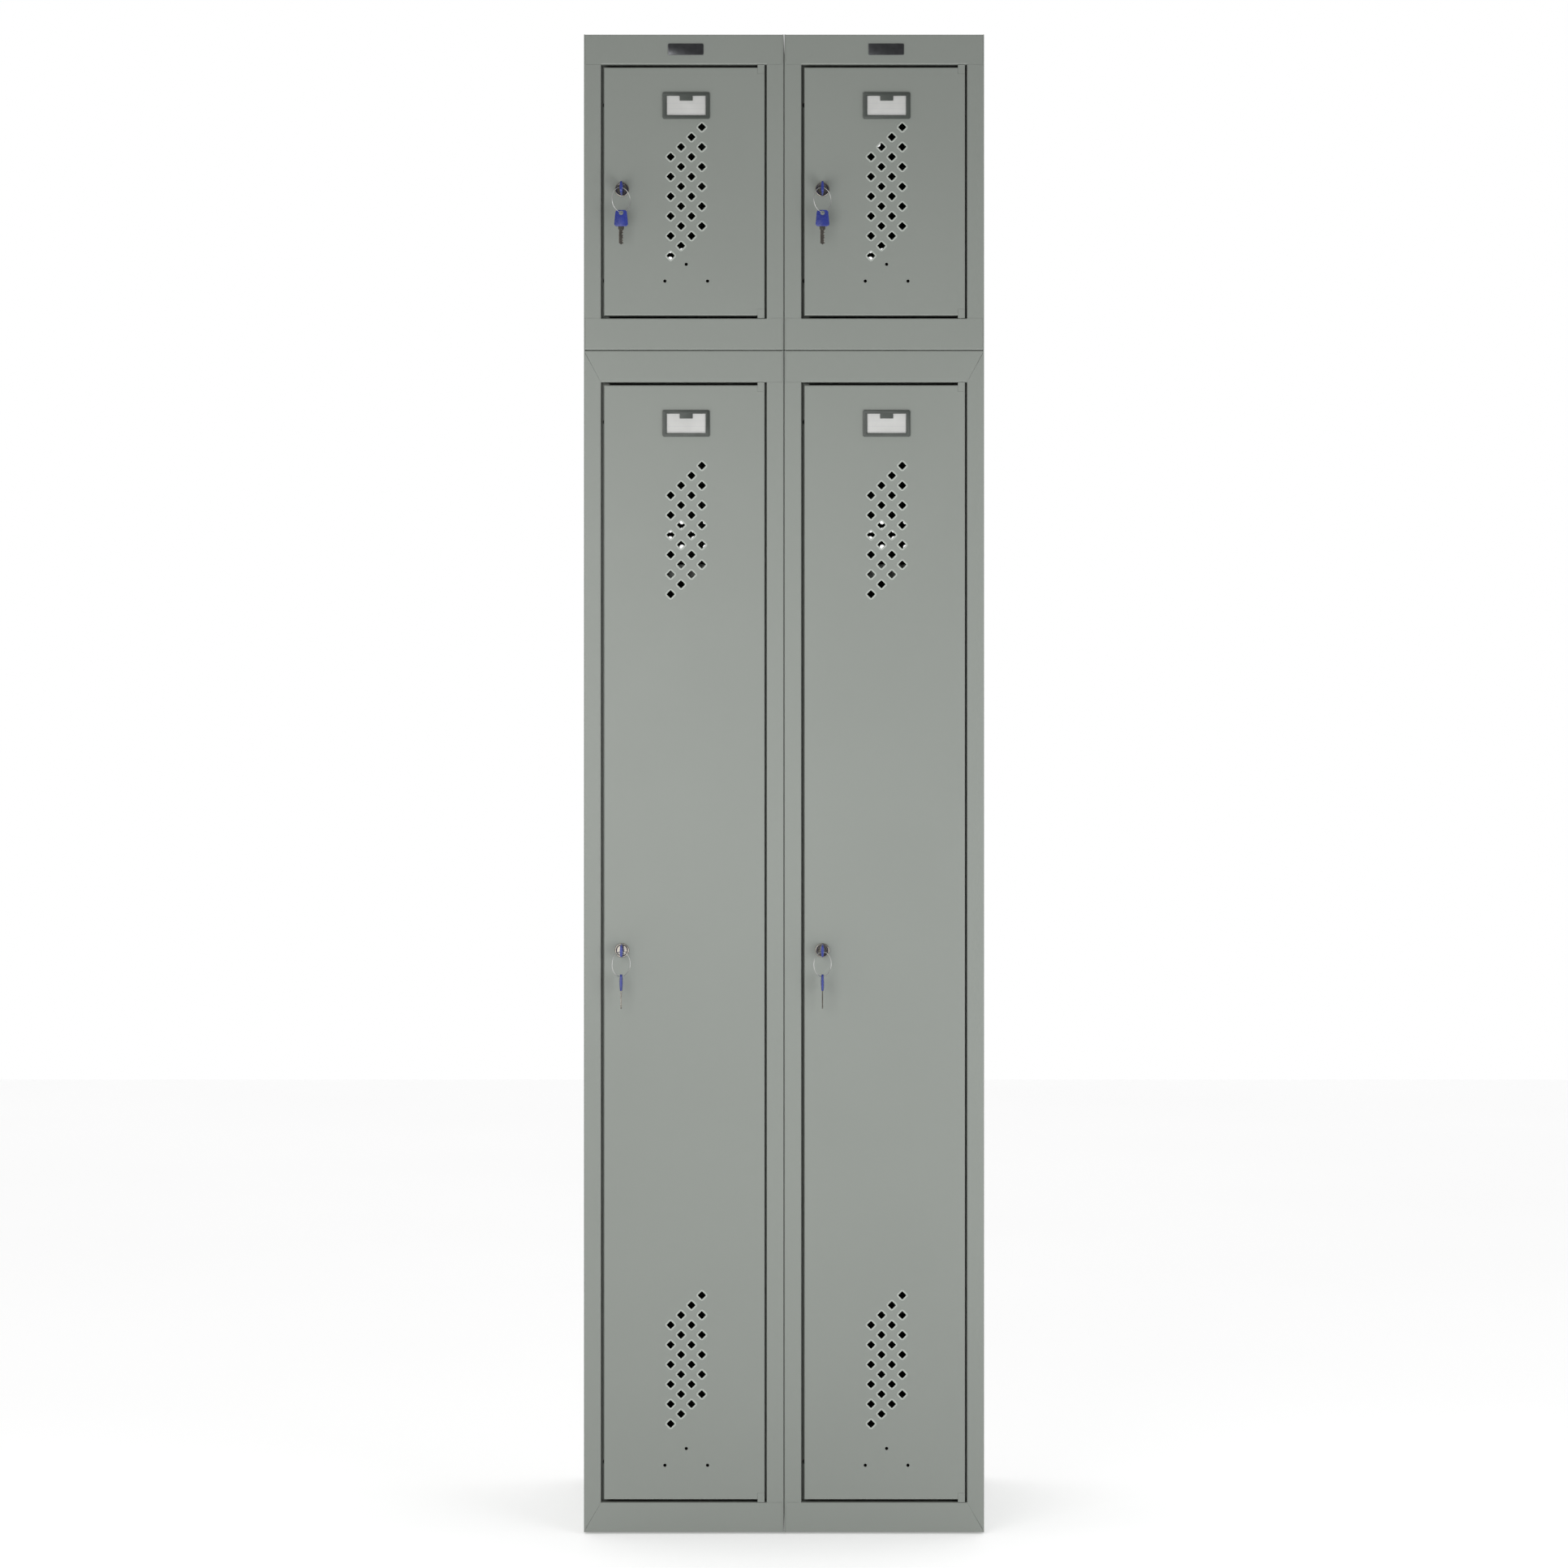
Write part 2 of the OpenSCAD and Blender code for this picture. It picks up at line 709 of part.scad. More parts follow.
// A key hanging by its bow's hole, which is at the origin. Its blade points down
module hanging_key() {
    base = hole_end - bow_l;
    difference() {
        union() {
            slab_y(-bow_t / 2, bow_t) translate([0, (hole_end + base) / 2])
                rounded_rect(bow_w, bow_l, 5);
            slab_y(-blade_t / 2, blade_t) polygon([
                [-shoulder_w / 2, base], [-shoulder_w / 2, base - shoulder_l],
                [-blade_w / 2, base - shoulder_l], [-blade_w / 2, base - blade_l + blade_in],
                [0, base - blade_l], [blade_w / 2, base - blade_l + blade_in],
                [blade_w / 2, base - shoulder_l], [shoulder_w / 2, base - shoulder_l],
                [shoulder_w / 2, base]]);
        }
        rod_y(bow_hole_r, -bow_t, 2 * bow_t);
    }
}

module key(tier, col) {
    color(key_blue) at_key_hole(tier, col) rotate([0, 90, 0]) rotate([90, 0, 0]) hanging_key();
}

module key_ring(tier, col) {
    color(steel) at_key_hole(tier, col) translate([0, 0, -hang - ring_r])
        rotate([0, 0, ring_tilt]) rotate([90, 0, 0])
            rotate_extrude() translate([ring_r, 0]) circle(wire_r);
}

module spare_key(tier, col) {
    color(key_blue) at_key_hole(tier, col) translate([0, 0, -2 * ring_r - 2 * hang])
        rotate([0, 0, tier == UPPER ? 0 : 90]) hanging_key();
}

// ---------- the parts, by node ----------

left_side(LOWER, LEFT);  // lower_left_outer_side
right_side(LOWER, LEFT);  // lower_left_inner_side
left_side(LOWER, RIGHT);  // lower_right_inner_side
right_side(LOWER, RIGHT);  // lower_right_outer_side
left_side(UPPER, LEFT);  // upper_left_outer_side
right_side(UPPER, LEFT);  // upper_left_inner_side
left_side(UPPER, RIGHT);  // upper_right_inner_side
right_side(UPPER, RIGHT);  // upper_right_outer_side
back(LOWER, LEFT);  // lower_left_back
back(LOWER, RIGHT);  // lower_right_back
back(UPPER, LEFT);  // upper_left_back
back(UPPER, RIGHT);  // upper_right_back
floors(LOWER);  // lower_floors
roofs(LOWER);  // lower_roofs
floors(UPPER);  // upper_floors
roofs(UPPER);  // upper_roofs
hat_shelves();
coat_rails();
coat_hooks();
feet();
joining_bolts();
hinge_pins();
door_buffers();
nameplates();

door(LOWER, LEFT);  // lower_left_door
stiffener(LOWER, LEFT);  // lower_left_stiffener
hinge_lugs(LOWER, LEFT);  // lower_left_hinge_lugs
label_holder(LOWER, LEFT);  // lower_left_label_holder
lock_barrel(LOWER, LEFT);  // lower_left_lock_barrel
lock_plug(LOWER, LEFT);  // lower_left_lock_plug
key(LOWER, LEFT);  // lower_left_key
key_ring(LOWER, LEFT);  // lower_left_key_ring
spare_key(LOWER, LEFT);  // lower_left_spare_key

door(LOWER, RIGHT);  // lower_right_door
stiffener(LOWER, RIGHT);  // lower_right_stiffener
hinge_lugs(LOWER, RIGHT);  // lower_right_hinge_lugs
label_holder(LOWER, RIGHT);  // lower_right_label_holder
lock_barrel(LOWER, RIGHT);  // lower_right_lock_barrel
lock_plug(LOWER, RIGHT);  // lower_right_lock_plug
key(LOWER, RIGHT);  // lower_right_key
key_ring(LOWER, RIGHT);  // lower_right_key_ring
spare_key(LOWER, RIGHT);  // lower_right_spare_key

door(UPPER, LEFT);  // upper_left_door
stiffener(UPPER, LEFT);  // upper_left_stiffener
hinge_lugs(UPPER, LEFT);  // upper_left_hinge_lugs
label_holder(UPPER, LEFT);  // upper_left_label_holder
lock_barrel(UPPER, LEFT);  // upper_left_lock_barrel
lock_plug(UPPER, LEFT);  // upper_left_lock_plug
key(UPPER, LEFT);  // upper_left_key
key_ring(UPPER, LEFT);  // upper_left_key_ring
spare_key(UPPER, LEFT);  // upper_left_spare_key

door(UPPER, RIGHT);  // upper_right_door
stiffener(UPPER, RIGHT);  // upper_right_stiffener
hinge_lugs(UPPER, RIGHT);  // upper_right_hinge_lugs
label_holder(UPPER, RIGHT);  // upper_right_label_holder
lock_barrel(UPPER, RIGHT);  // upper_right_lock_barrel
lock_plug(UPPER, RIGHT);  // upper_right_lock_plug
key(UPPER, RIGHT);  // upper_right_key
key_ring(UPPER, RIGHT);  // upper_right_key_ring
spare_key(UPPER, RIGHT);  // upper_right_spare_key
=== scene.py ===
"""Two-column steel locker cabinet: finishes, keys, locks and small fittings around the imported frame."""
import json
import math

import bmesh
import bpy
from bpy.props import FloatProperty, FloatVectorProperty, PointerProperty
from mathutils import Matrix, Vector


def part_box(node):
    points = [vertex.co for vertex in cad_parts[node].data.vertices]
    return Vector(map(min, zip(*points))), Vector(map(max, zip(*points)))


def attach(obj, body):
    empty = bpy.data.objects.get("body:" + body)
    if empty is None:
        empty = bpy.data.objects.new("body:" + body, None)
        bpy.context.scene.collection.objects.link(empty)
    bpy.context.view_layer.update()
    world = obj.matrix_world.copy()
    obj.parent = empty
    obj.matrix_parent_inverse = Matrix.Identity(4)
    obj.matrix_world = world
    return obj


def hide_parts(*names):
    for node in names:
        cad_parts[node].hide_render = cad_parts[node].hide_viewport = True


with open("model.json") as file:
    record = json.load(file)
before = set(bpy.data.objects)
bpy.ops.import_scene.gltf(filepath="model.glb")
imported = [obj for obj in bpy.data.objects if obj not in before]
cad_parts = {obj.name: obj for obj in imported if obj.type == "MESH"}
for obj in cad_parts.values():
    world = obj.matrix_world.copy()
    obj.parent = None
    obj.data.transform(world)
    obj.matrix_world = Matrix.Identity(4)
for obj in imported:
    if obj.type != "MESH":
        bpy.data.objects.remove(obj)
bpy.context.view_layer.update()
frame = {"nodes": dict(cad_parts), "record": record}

bl_info = {
    "name": "Locker Cabinet",
    "version": (1, 0, 0),
    "blender": (4, 5, 0),
    "location": "View3D > Sidebar > Locker",
    "description": "Finishes a two-column steel locker cabinet with locks, keys and small fittings",
    "category": "Object",
}

MM = 0.001
NODES = frame["nodes"]
UNITS = ("lower_left", "lower_right", "upper_left", "upper_right")


# ---------- places taken from the frame ----------

def middle(node):
    """The centre of a node's box."""
    low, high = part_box(node)
    return (Vector(low) + Vector(high)) / 2


def lock_place(unit):
    """Where a lock's axis meets the front of its door."""
    at = middle(unit + "_lock_barrel")
    at.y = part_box(unit + "_door")[0][1]
    return at


def key_hole_place(unit):
    """The hole in the working key's bow, from which the ring hangs."""
    ring = bpy.context.scene.locker_ring
    at = middle(unit + "_key_ring")
    at.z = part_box(unit + "_key_ring")[1][2] + ring.hang - ring.wire
    return at


# ---------- sizes and colours that a user may change ----------

class LockerCoat(bpy.types.PropertyGroup):
    """The powder coat on the sheet metal."""
    colour: FloatVectorProperty(
        name="Colour", description="Colour of the powder coat", subtype="COLOR",
        size=3, min=0, max=1, default=(0.252, 0.270, 0.248))
    roughness: FloatProperty(
        name="Roughness", description="How matt the coat is", subtype="FACTOR",
        min=0, max=1, default=0.42)
    peel_size: FloatProperty(
        name="Peel Size", description="Distance between the bumps of the coat's orange peel",
        subtype="DISTANCE", unit="LENGTH", default=0.0018)
    peel_height: FloatProperty(
        name="Peel Height", description="Height of the coat's orange peel",
        subtype="DISTANCE", unit="LENGTH", default=0.00003)
    bead_width: FloatProperty(
        name="Bead Width", description="Width of the thicker coat round a punched vent",
        subtype="DISTANCE", unit="LENGTH", default=0.0024)
    bead_height: FloatProperty(
        name="Bead Height", description="Height of the thicker coat round a punched vent",
        subtype="DISTANCE", unit="LENGTH", default=0.0004)
    # Paints the vent beads lighter than the coat: a painted highlight for light caught on the rims round
    # the vents.
    bead_painted_highlight: FloatProperty(
        name="Bead Painted Highlight", description="How much lighter the thicker coat round a vent looks",
        min=1, max=2, default=1.6)


class LockerKey(bpy.types.PropertyGroup):
    """The moulded keys."""
    colour: FloatVectorProperty(
        name="Bow Colour", description="Colour of the moulded bow", subtype="COLOR",
        size=3, min=0, max=1, default=(0.028, 0.042, 0.245))
    crown: FloatProperty(
        name="Crown", description="Thickness of the bow at its middle",
        subtype="DISTANCE", unit="LENGTH", default=0.0052)
    rim: FloatProperty(
        name="Rim", description="Thickness of the bow at its edge",
        subtype="DISTANCE", unit="LENGTH", default=0.0016)
    hole: FloatProperty(
        name="Hole", description="Radius of the hole in the bow",
        subtype="DISTANCE", unit="LENGTH", default=0.0034)
    blade: FloatProperty(
        name="Blade", description="Thickness of the blade",
        subtype="DISTANCE", unit="LENGTH", default=0.0018)


class LockerRing(bpy.types.PropertyGroup):
    """The split ring that joins two keys."""
    hang: FloatProperty(
        name="Hang", description="Distance from the middle of a key's hole to the wire in it",
        subtype="DISTANCE", unit="LENGTH", default=0.0012)
    wire: FloatProperty(
        name="Wire", description="Radius of the two turns of wire together",
        subtype="DISTANCE", unit="LENGTH", default=0.0008)
    turns: FloatProperty(
        name="Turns", description="How often the wire goes round", default=1.9)


class LockerStage(bpy.types.PropertyGroup):
    """The studio around the cabinet."""
    camera_distance: FloatProperty(
        name="Camera Distance", description="Distance from the doors to the camera",
        subtype="DISTANCE", unit="LENGTH", default=6.0)
    side_step: FloatProperty(
        name="Side Step", description="Distance of the camera to the right of the middle seam",
        subtype="DISTANCE", unit="LENGTH", default=0.03)
    view_height: FloatProperty(
        name="View Height", description="Height that the picture takes in at the doors",
        subtype="DISTANCE", unit="LENGTH", default=2.4254)
    eye_height: FloatProperty(
        name="Eye Height", description="Height of the camera above the floor",
        subtype="DISTANCE", unit="LENGTH", default=1.1606)
    floor_colour: FloatVectorProperty(
        name="Floor Colour", description="Colour of the plain floor", subtype="COLOR",
        size=3, min=0, max=1, default=(0.90, 0.90, 0.90))
    floor_glow: FloatProperty(
        name="Floor Glow", description="Light that the studio floor itself gives", default=0.35)
    front_light: FloatProperty(
        name="Front Light", description="Power of the softbox in front", subtype="POWER",
        unit="POWER", default=16.0)
    side_light: FloatProperty(
        name="Side Light", description="Power of the softbox at the right", subtype="POWER",
        unit="POWER", default=12.5)
    sky: FloatProperty(
        name="Sky", description="Brightness of the white studio", default=1.0)


# ---------- shader groups ----------

def new_group(name, kind="ShaderNodeTree"):
    """An empty node group with its two end nodes."""
    tree = bpy.data.node_groups.new(name, kind)
    return tree, tree.nodes.new("NodeGroupInput"), tree.nodes.new("NodeGroupOutput")


def socket(tree, name, kind, value=None, out=False):
    """Adds a named input or output to a group."""
    way = "OUTPUT" if out else "INPUT"
    made = tree.interface.new_socket(name=name, in_out=way, socket_type=kind)
    if value is not None:
        made.default_value = value
    return made


def node(tree, kind, links=None, **settings):
    """Adds a node. links gives a value or another node's socket for each of its inputs."""
    made = tree.nodes.new(kind)
    for key, value in settings.items():
        setattr(made, key, value)
    for key, value in (links or {}).items():
        target = made.inputs[key]
        if isinstance(value, bpy.types.NodeSocket):
            tree.links.new(value, target)
        else:
            target.default_value = value
    return made


def maths(tree, operation, *values):
    """The result of one operation on numbers and sockets."""
    return node(tree, "ShaderNodeMath", dict(enumerate(values)), operation=operation).outputs[0]


def mix(tree, factor, first, second):
    """A colour between two others."""
    made = node(tree, "ShaderNodeMix", {0: factor, 6: first, 7: second}, data_type="RGBA")
    return made.outputs[2]


def peel_group():
    """Orange peel: a height from small bumps and a slower swell."""
    swell_scale, swell_weight = 0.09, 3.0
    tree, start, end = new_group("Orange Peel")
    socket(tree, "Vector", "NodeSocketVector")
    socket(tree, "Size", "NodeSocketFloat", 0.002)
    socket(tree, "Height", "NodeSocketFloat", out=True)
    scale = maths(tree, "DIVIDE", 1.0, start.outputs["Size"])
    fine = node(tree, "ShaderNodeTexNoise",
                {"Vector": start.outputs["Vector"], "Scale": scale, "Detail": 1.0})
    slow = maths(tree, "MULTIPLY", scale, swell_scale)
    swell = node(tree, "ShaderNodeTexNoise",
                 {"Vector": start.outputs["Vector"], "Scale": slow, "Detail": 1.0})
    both = maths(tree, "MULTIPLY_ADD", swell.outputs[0], swell_weight, fine.outputs[0])
    tree.links.new(both, end.inputs["Height"])
    return tree


def mottle_group():
    """Slow, faint change of a colour over a large surface."""
    tree, start, end = new_group("Soft Mottle")
    socket(tree, "Vector", "NodeSocketVector")
    socket(tree, "Colour", "NodeSocketColor", (0.5, 0.5, 0.5, 1))
    socket(tree, "Second Colour", "NodeSocketColor", (0.5, 0.5, 0.5, 1))
    socket(tree, "Scale", "NodeSocketFloat", 2.0)
    socket(tree, "Colour", "NodeSocketColor", out=True)
    cloud = node(tree, "ShaderNodeTexNoise",
                 {"Vector": start.outputs["Vector"], "Scale": start.outputs["Scale"], "Detail": 2.0})
    spread = node(tree, "ShaderNodeMapRange",
                  {"Value": cloud.outputs[0], "From Min": 0.35, "From Max": 0.65})
    mixed = mix(tree, spread.outputs[0], start.outputs["Colour"], start.outputs["Second Colour"])
    tree.links.new(mixed, end.inputs["Colour"])
    return tree


def smudge_group():
    """A roughness that wanders where hands and cloths have touched."""
    tree, start, end = new_group("Hand Smudges")
    socket(tree, "Vector", "NodeSocketVector")
    socket(tree, "Roughness", "NodeSocketFloat", 0.4)
    socket(tree, "Amount", "NodeSocketFloat", 0.08)
    socket(tree, "Scale", "NodeSocketFloat", 9.0)
    socket(tree, "Roughness", "NodeSocketFloat", out=True)
    cloud = node(tree, "ShaderNodeTexNoise",
                 {"Vector": start.outputs["Vector"], "Scale": start.outputs["Scale"],
                  "Detail": 5.0, "Roughness": 0.62})
    low = maths(tree, "SUBTRACT", start.outputs["Roughness"], start.outputs["Amount"])
    high = maths(tree, "ADD", start.outputs["Roughness"], start.outputs["Amount"])
    spread = node(tree, "ShaderNodeMapRange",
                  {"Value": cloud.outputs[0], "From Min": 0.3, "From Max": 0.7,
                   "To Min": low, "To Max": high})
    tree.links.new(spread.outputs[0], end.inputs["Roughness"])
    return tree


def scratch_group():
    """Fine hair scratches in one direction, as a mask."""
    tree, start, end = new_group("Hair Scratches")
    socket(tree, "Vector", "NodeSocketVector")
    socket(tree, "Stretch", "NodeSocketVector", (1, 1, 1))
    socket(tree, "Scale", "NodeSocketFloat", 900.0)
    socket(tree, "Mask", "NodeSocketFloat", out=True)
    pulled = node(tree, "ShaderNodeVectorMath",
                  {0: start.outputs["Vector"], 1: start.outputs["Stretch"]}, operation="MULTIPLY")
    hair = node(tree, "ShaderNodeTexNoise",
                {"Vector": pulled.outputs[0], "Scale": start.outputs["Scale"], "Detail": 3.0})
    spread = node(tree, "ShaderNodeMapRange",
                  {"Value": hair.outputs[0], "From Min": 0.35, "From Max": 0.65})
    tree.links.new(spread.outputs[0], end.inputs["Mask"])
    return tree


def dust_group():
    """How much dust lies on faces that look up."""
    speck_scale = 240.0
    tree, start, end = new_group("Settled Dust")
    socket(tree, "Vector", "NodeSocketVector")
    socket(tree, "Facing", "NodeSocketVector")
    socket(tree, "Amount", "NodeSocketFloat", 0.2)
    socket(tree, "Mask", "NodeSocketFloat", out=True)
    parts = node(tree, "ShaderNodeSeparateXYZ", {0: start.outputs["Facing"]})
    up = node(tree, "ShaderNodeMapRange",
              {"Value": parts.outputs["Z"], "From Min": 0.75, "From Max": 1.0})
    specks = node(tree, "ShaderNodeTexNoise",
                  {"Vector": start.outputs["Vector"], "Scale": speck_scale, "Detail": 4.0})
    heaps = node(tree, "ShaderNodeMapRange",
                 {"Value": specks.outputs[0], "From Min": 0.4, "From Max": 0.75})
    lying = maths(tree, "MULTIPLY", up.outputs[0], heaps.outputs[0])
    share = maths(tree, "MULTIPLY", lying, start.outputs["Amount"])
    tree.links.new(share, end.inputs["Mask"])
    return tree


GROUPS = {}


def group(name):
    """A shader group, built the first time that it is asked for."""
    makers = {"peel": peel_group, "mottle": mottle_group, "smudge": smudge_group,
              "scratch": scratch_group, "dust": dust_group}
    if name not in GROUPS:
        GROUPS[name] = makers[name]()
    return GROUPS[name]


def use(tree, name, **links):
    """Places a shader group in a material. An underscore in a link's name stands for a space."""
    named = {key.replace("_", " "): value for key, value in links.items()}
    return node(tree, "ShaderNodeGroup", named, node_tree=group(name))


# ---------- materials ----------

def start_material(name, metallic=0.0):
    """An empty material with its shader and its coordinates."""
    made = bpy.data.materials.new(name)
    made.use_nodes = True
    tree = made.node_tree
    shader = tree.nodes["Principled BSDF"]
    shader.inputs["Metallic"].default_value = metallic
    return made, tree, shader, tree.nodes.new("ShaderNodeTexCoord")


def shade(colour, factor):
    """A colour, lighter or darker, with its alpha."""
    return tuple(min(1.0, c * factor) for c in colour) + (1.0,)


def bump(tree, shader, height, distance):
    """Feeds a height to the shader's normal."""
    made = node(tree, "ShaderNodeBump", {"Height": height, "Distance": distance, "Strength": 1.0})
    tree.links.new(made.outputs[0], shader.inputs["Normal"])


def toned(tree, shader, place, first, second, scale):
    """Gives the shader a colour that wanders slowly between two."""
    tone = use(tree, "mottle", Vector=place, Colour=first, Second_Colour=second, Scale=scale)
    tree.links.new(tone.outputs["Colour"], shader.inputs["Base Color"])


def smudged(tree, shader, place, roughness, amount, scale):
    """Gives the shader a roughness that wanders."""
    rough = use(tree, "smudge", Vector=place, Roughness=roughness, Amount=amount, Scale=scale)
    tree.links.new(rough.outputs[0], shader.inputs["Roughness"])


DUST = (0.42, 0.40, 0.36, 1)
RULED_LINE = (0.30, 0.33, 0.40, 1)


def powder_coat(name="Grey Powder Coat", highlight_lift=1.0):
    """Powder coat with orange peel, a faint mottle and dust on top faces. A lift above 1 paints the whole
    coat lighter, as a painted highlight.
    """
    coat = bpy.context.scene.locker_coat
    made, tree, shader, at = start_material(name)
    place = at.outputs["Object"]
    tone = use(tree, "mottle", Vector=place, Colour=shade(coat.colour, 1.015 * highlight_lift),
               Second_Colour=shade(coat.colour, 0.985 * highlight_lift), Scale=2.6)
    dust = use(tree, "dust", Vector=place, Facing=at.outputs["Normal"], Amount=0.35)
    dusty = mix(tree, dust.outputs["Mask"], tone.outputs["Colour"], DUST)
    tree.links.new(dusty, shader.inputs["Base Color"])
    smudged(tree, shader, place, coat.roughness, amount=0.035, scale=6.0)
    peel = use(tree, "peel", Vector=place, Size=coat.peel_size)
    bump(tree, shader, peel.outputs["Height"], coat.peel_height)
    shader.inputs["Specular IOR Level"].default_value = 0.45
    return made


def plated_steel(name, colour, roughness, stretch):
    """A plated metal with hair scratches and smudges."""
    made, tree, shader, at = start_material(name, metallic=1.0)
    place = at.outputs["Object"]
    toned(tree, shader, place, shade(colour, 1.06), shade(colour, 0.9), scale=70.0)
    smudged(tree, shader, place, roughness, amount=0.07, scale=160.0)
    hair = use(tree, "scratch", Vector=place, Stretch=stretch, Scale=1400.0)
    bump(tree, shader, hair.outputs["Mask"], distance=0.008 * MM)
    return made


def key_plastic():
    """Glossy moulded plastic of a key's bow, worn by fingers."""
    made, tree, shader, at = start_material("Blue Key Plastic")
    colour = bpy.context.scene.locker_key.colour
    place = at.outputs["Object"]
    toned(tree, shader, place, shade(colour, 1.1), shade(colour, 0.85), scale=90.0)
    smudged(tree, shader, place, 0.27, amount=0.09, scale=260.0)
    grain = use(tree, "peel", Vector=place, Size=0.7 * MM)
    bump(tree, shader, grain.outputs["Height"], distance=0.01 * MM)
    return made


def moulded_plastic(name, colour, roughness):
    """Matt plastic with a fine moulded grain."""
    made, tree, shader, at = start_material(name)
    place = at.outputs["Object"]
    toned(tree, shader, place, shade(colour, 1.08), shade(colour, 0.92), scale=40.0)
    smudged(tree, shader, place, roughness, amount=0.06, scale=120.0)
    grain = use(tree, "peel", Vector=place, Size=0.6 * MM)
    bump(tree, shader, grain.outputs["Height"], distance=0.03 * MM)
    return made


def card_paper():
    """Pale card with paper fibres and faint ruled writing lines."""
    rows, line_start, ink = 5.0, 0.93, 0.22
    made, tree, shader, at = start_material("Label Card")
    place = at.outputs["Object"]
    tone = use(tree, "mottle", Vector=place, Colour=(0.60, 0.60, 0.585, 1),
               Second_Colour=(0.55, 0.55, 0.535, 1), Scale=30.0)
    parts = node(tree, "ShaderNodeSeparateXYZ", {0: at.outputs["UV"]})
    phase = maths(tree, "WRAP", maths(tree, "MULTIPLY", parts.outputs["Y"], rows), 1.0, 0.0)
    faint = maths(tree, "MULTIPLY", maths(tree, "GREATER_THAN", phase, line_start), ink)
    ruled = mix(tree, faint, tone.outputs["Colour"], RULED_LINE)
    tree.links.new(ruled, shader.inputs["Base Color"])
    fibre = use(tree, "scratch", Vector=place, Stretch=(1.0, 1.0, 0.35), Scale=1600.0)
    bump(tree, shader, fibre.outputs["Mask"], distance=0.02 * MM)
    shader.inputs["Roughness"].default_value = 0.62
    return made


MATERIALS = {}
MAKERS = {
    "powder_coat": powder_coat,
    # The bead coat: the real rims of thicker coat, painted lighter as a painted highlight.
    "bead_coat_painted_highlight": lambda: powder_coat("Thick Powder Coat", bpy.context.scene.locker_coat.bead_painted_highlight),
    "bright_steel": lambda: plated_steel("Zinc Plated Steel", (0.55, 0.55, 0.54), 0.34, (1, 1, 0.05)),
    "nickel": lambda: plated_steel("Nickel Plate", (0.30, 0.28, 0.25), 0.14, (1, 0.1, 1)),
    "key_plastic": key_plastic,
    "dark_plastic": lambda: moulded_plastic("Dark Grey Plastic", (0.058, 0.066, 0.059), 0.46),
    "rubber": lambda: moulded_plastic("Black Rubber", (0.018, 0.018, 0.019), 0.72),
    "plate": lambda: plated_steel("Dark Anodised Plate", (0.115, 0.118, 0.124), 0.36, (0.03, 1, 1)),
    "card": card_paper,
}


def material(name):
    """One of the cabinet's finishes, made the first time that it is asked for."""
    if name not in MATERIALS:
        MATERIALS[name] = MAKERS[name]()
    return MATERIALS[name]


def paint(obj, name):
    """Gives an object one material."""
    obj.data.materials.clear()
    obj.data.materials.append(material(name))


def paint_node(name, finish):
    """Gives every material slot of a CAD node one finish."""
    obj = NODES[name]
    if not obj.material_slots:
        obj.data.materials.append(None)
    for place in obj.material_slots:
        place.material = material(finish)


# ---------- meshes ----------

SMOOTH_ANGLE = 40
BEVEL_ANGLE = 35
FLAT_ANGLE = 0.5


def add_mesh(name, verts, faces, finish, smooth_angle=SMOOTH_ANGLE):
    """A new object from points and faces, with normals outwards and soft shading."""
    mesh = bpy.data.meshes.new(name)
    mesh.from_pydata([tuple(v) for v in verts], [], faces)
    work = bmesh.new()
    work.from_mesh(mesh)
    bmesh.ops.remove_doubles(work, verts=work.verts, dist=1e-7)
    bmesh.ops.recalc_face_normals(work, faces=work.faces)
    work.to_mesh(mesh)
    work.free()
    obj = bpy.data.objects.new(name, mesh)
    bpy.context.scene.collection.objects.link(obj)
    mesh.shade_smooth()
    mesh.set_sharp_from_angle(angle=math.radians(smooth_angle))
    paint(obj, finish)
    return obj


def moved(verts, place, *turns):
    """Points turned about the origin and then moved to a place."""
    turn = Matrix.Identity(3)
    for degrees, axis in turns:
        turn = turn @ Matrix.Rotation(math.radians(degrees), 3, axis)
    return [place + turn @ Vector(v) for v in verts]


def rounded_outline(corners, radius, steps):
    """A convex outline, counter-clockwise, with an arc of that many steps at each corner."""
    made = []
    count = len(corners)
    for i in range(count):
        corner = Vector(corners[i])
        before = (Vector(corners[i - 1]) - corner).normalized()
        after = (Vector(corners[(i + 1) % count]) - corner).normalized()
        half = before.angle(after) / 2
        centre = corner + (before + after).normalized() * radius / math.sin(half)
        first = corner + before * radius / math.tan(half) - centre
        sweep = math.pi - 2 * half
        for k in range(steps + 1):
            turn = Matrix.Rotation(sweep * k / steps, 2)
            made.append(centre + turn @ first)
    return made


def resampled(outline, count):
    """The same closed outline with evenly spaced points."""
    total = [0.0]
    for i, p in enumerate(outline):
        total.append(total[-1] + (outline[(i + 1) % len(outline)] - p).length)
    made = []
    k = 0
    for i in range(count):
        want = total[-1] * i / count
        while total[k + 1] < want:
            k += 1
        share = (want - total[k]) / max(1e-12, total[k + 1] - total[k])
        made.append(outline[k].lerp(outline[(k + 1) % len(outline)], share))
    return made


def band(a, b, count):
    """The faces between two rings of that many points, which start at a and at b."""
    return [(a + k, a + (k + 1) % count, b + (k + 1) % count, b + k) for k in range(count)]


def closed_bands(rows, count):
    """The faces between rings that follow one another, the last one joined to the first."""
    return [face for i in range(rows) for face in band(i * count, (i + 1) % rows * count, count)]


def lathe(name, profile, place, finish, steps=64):
    """A turned piece: a closed profile of (radius, y) points goes round the Y axis through place."""
    verts = []
    for radius, y in profile:
        for k in range(steps):
            angle = math.tau * k / steps
            verts.append(place + Vector((radius * math.cos(angle), y, radius * math.sin(angle))))
    return add_mesh(name, verts, closed_bands(len(profile), steps), finish)


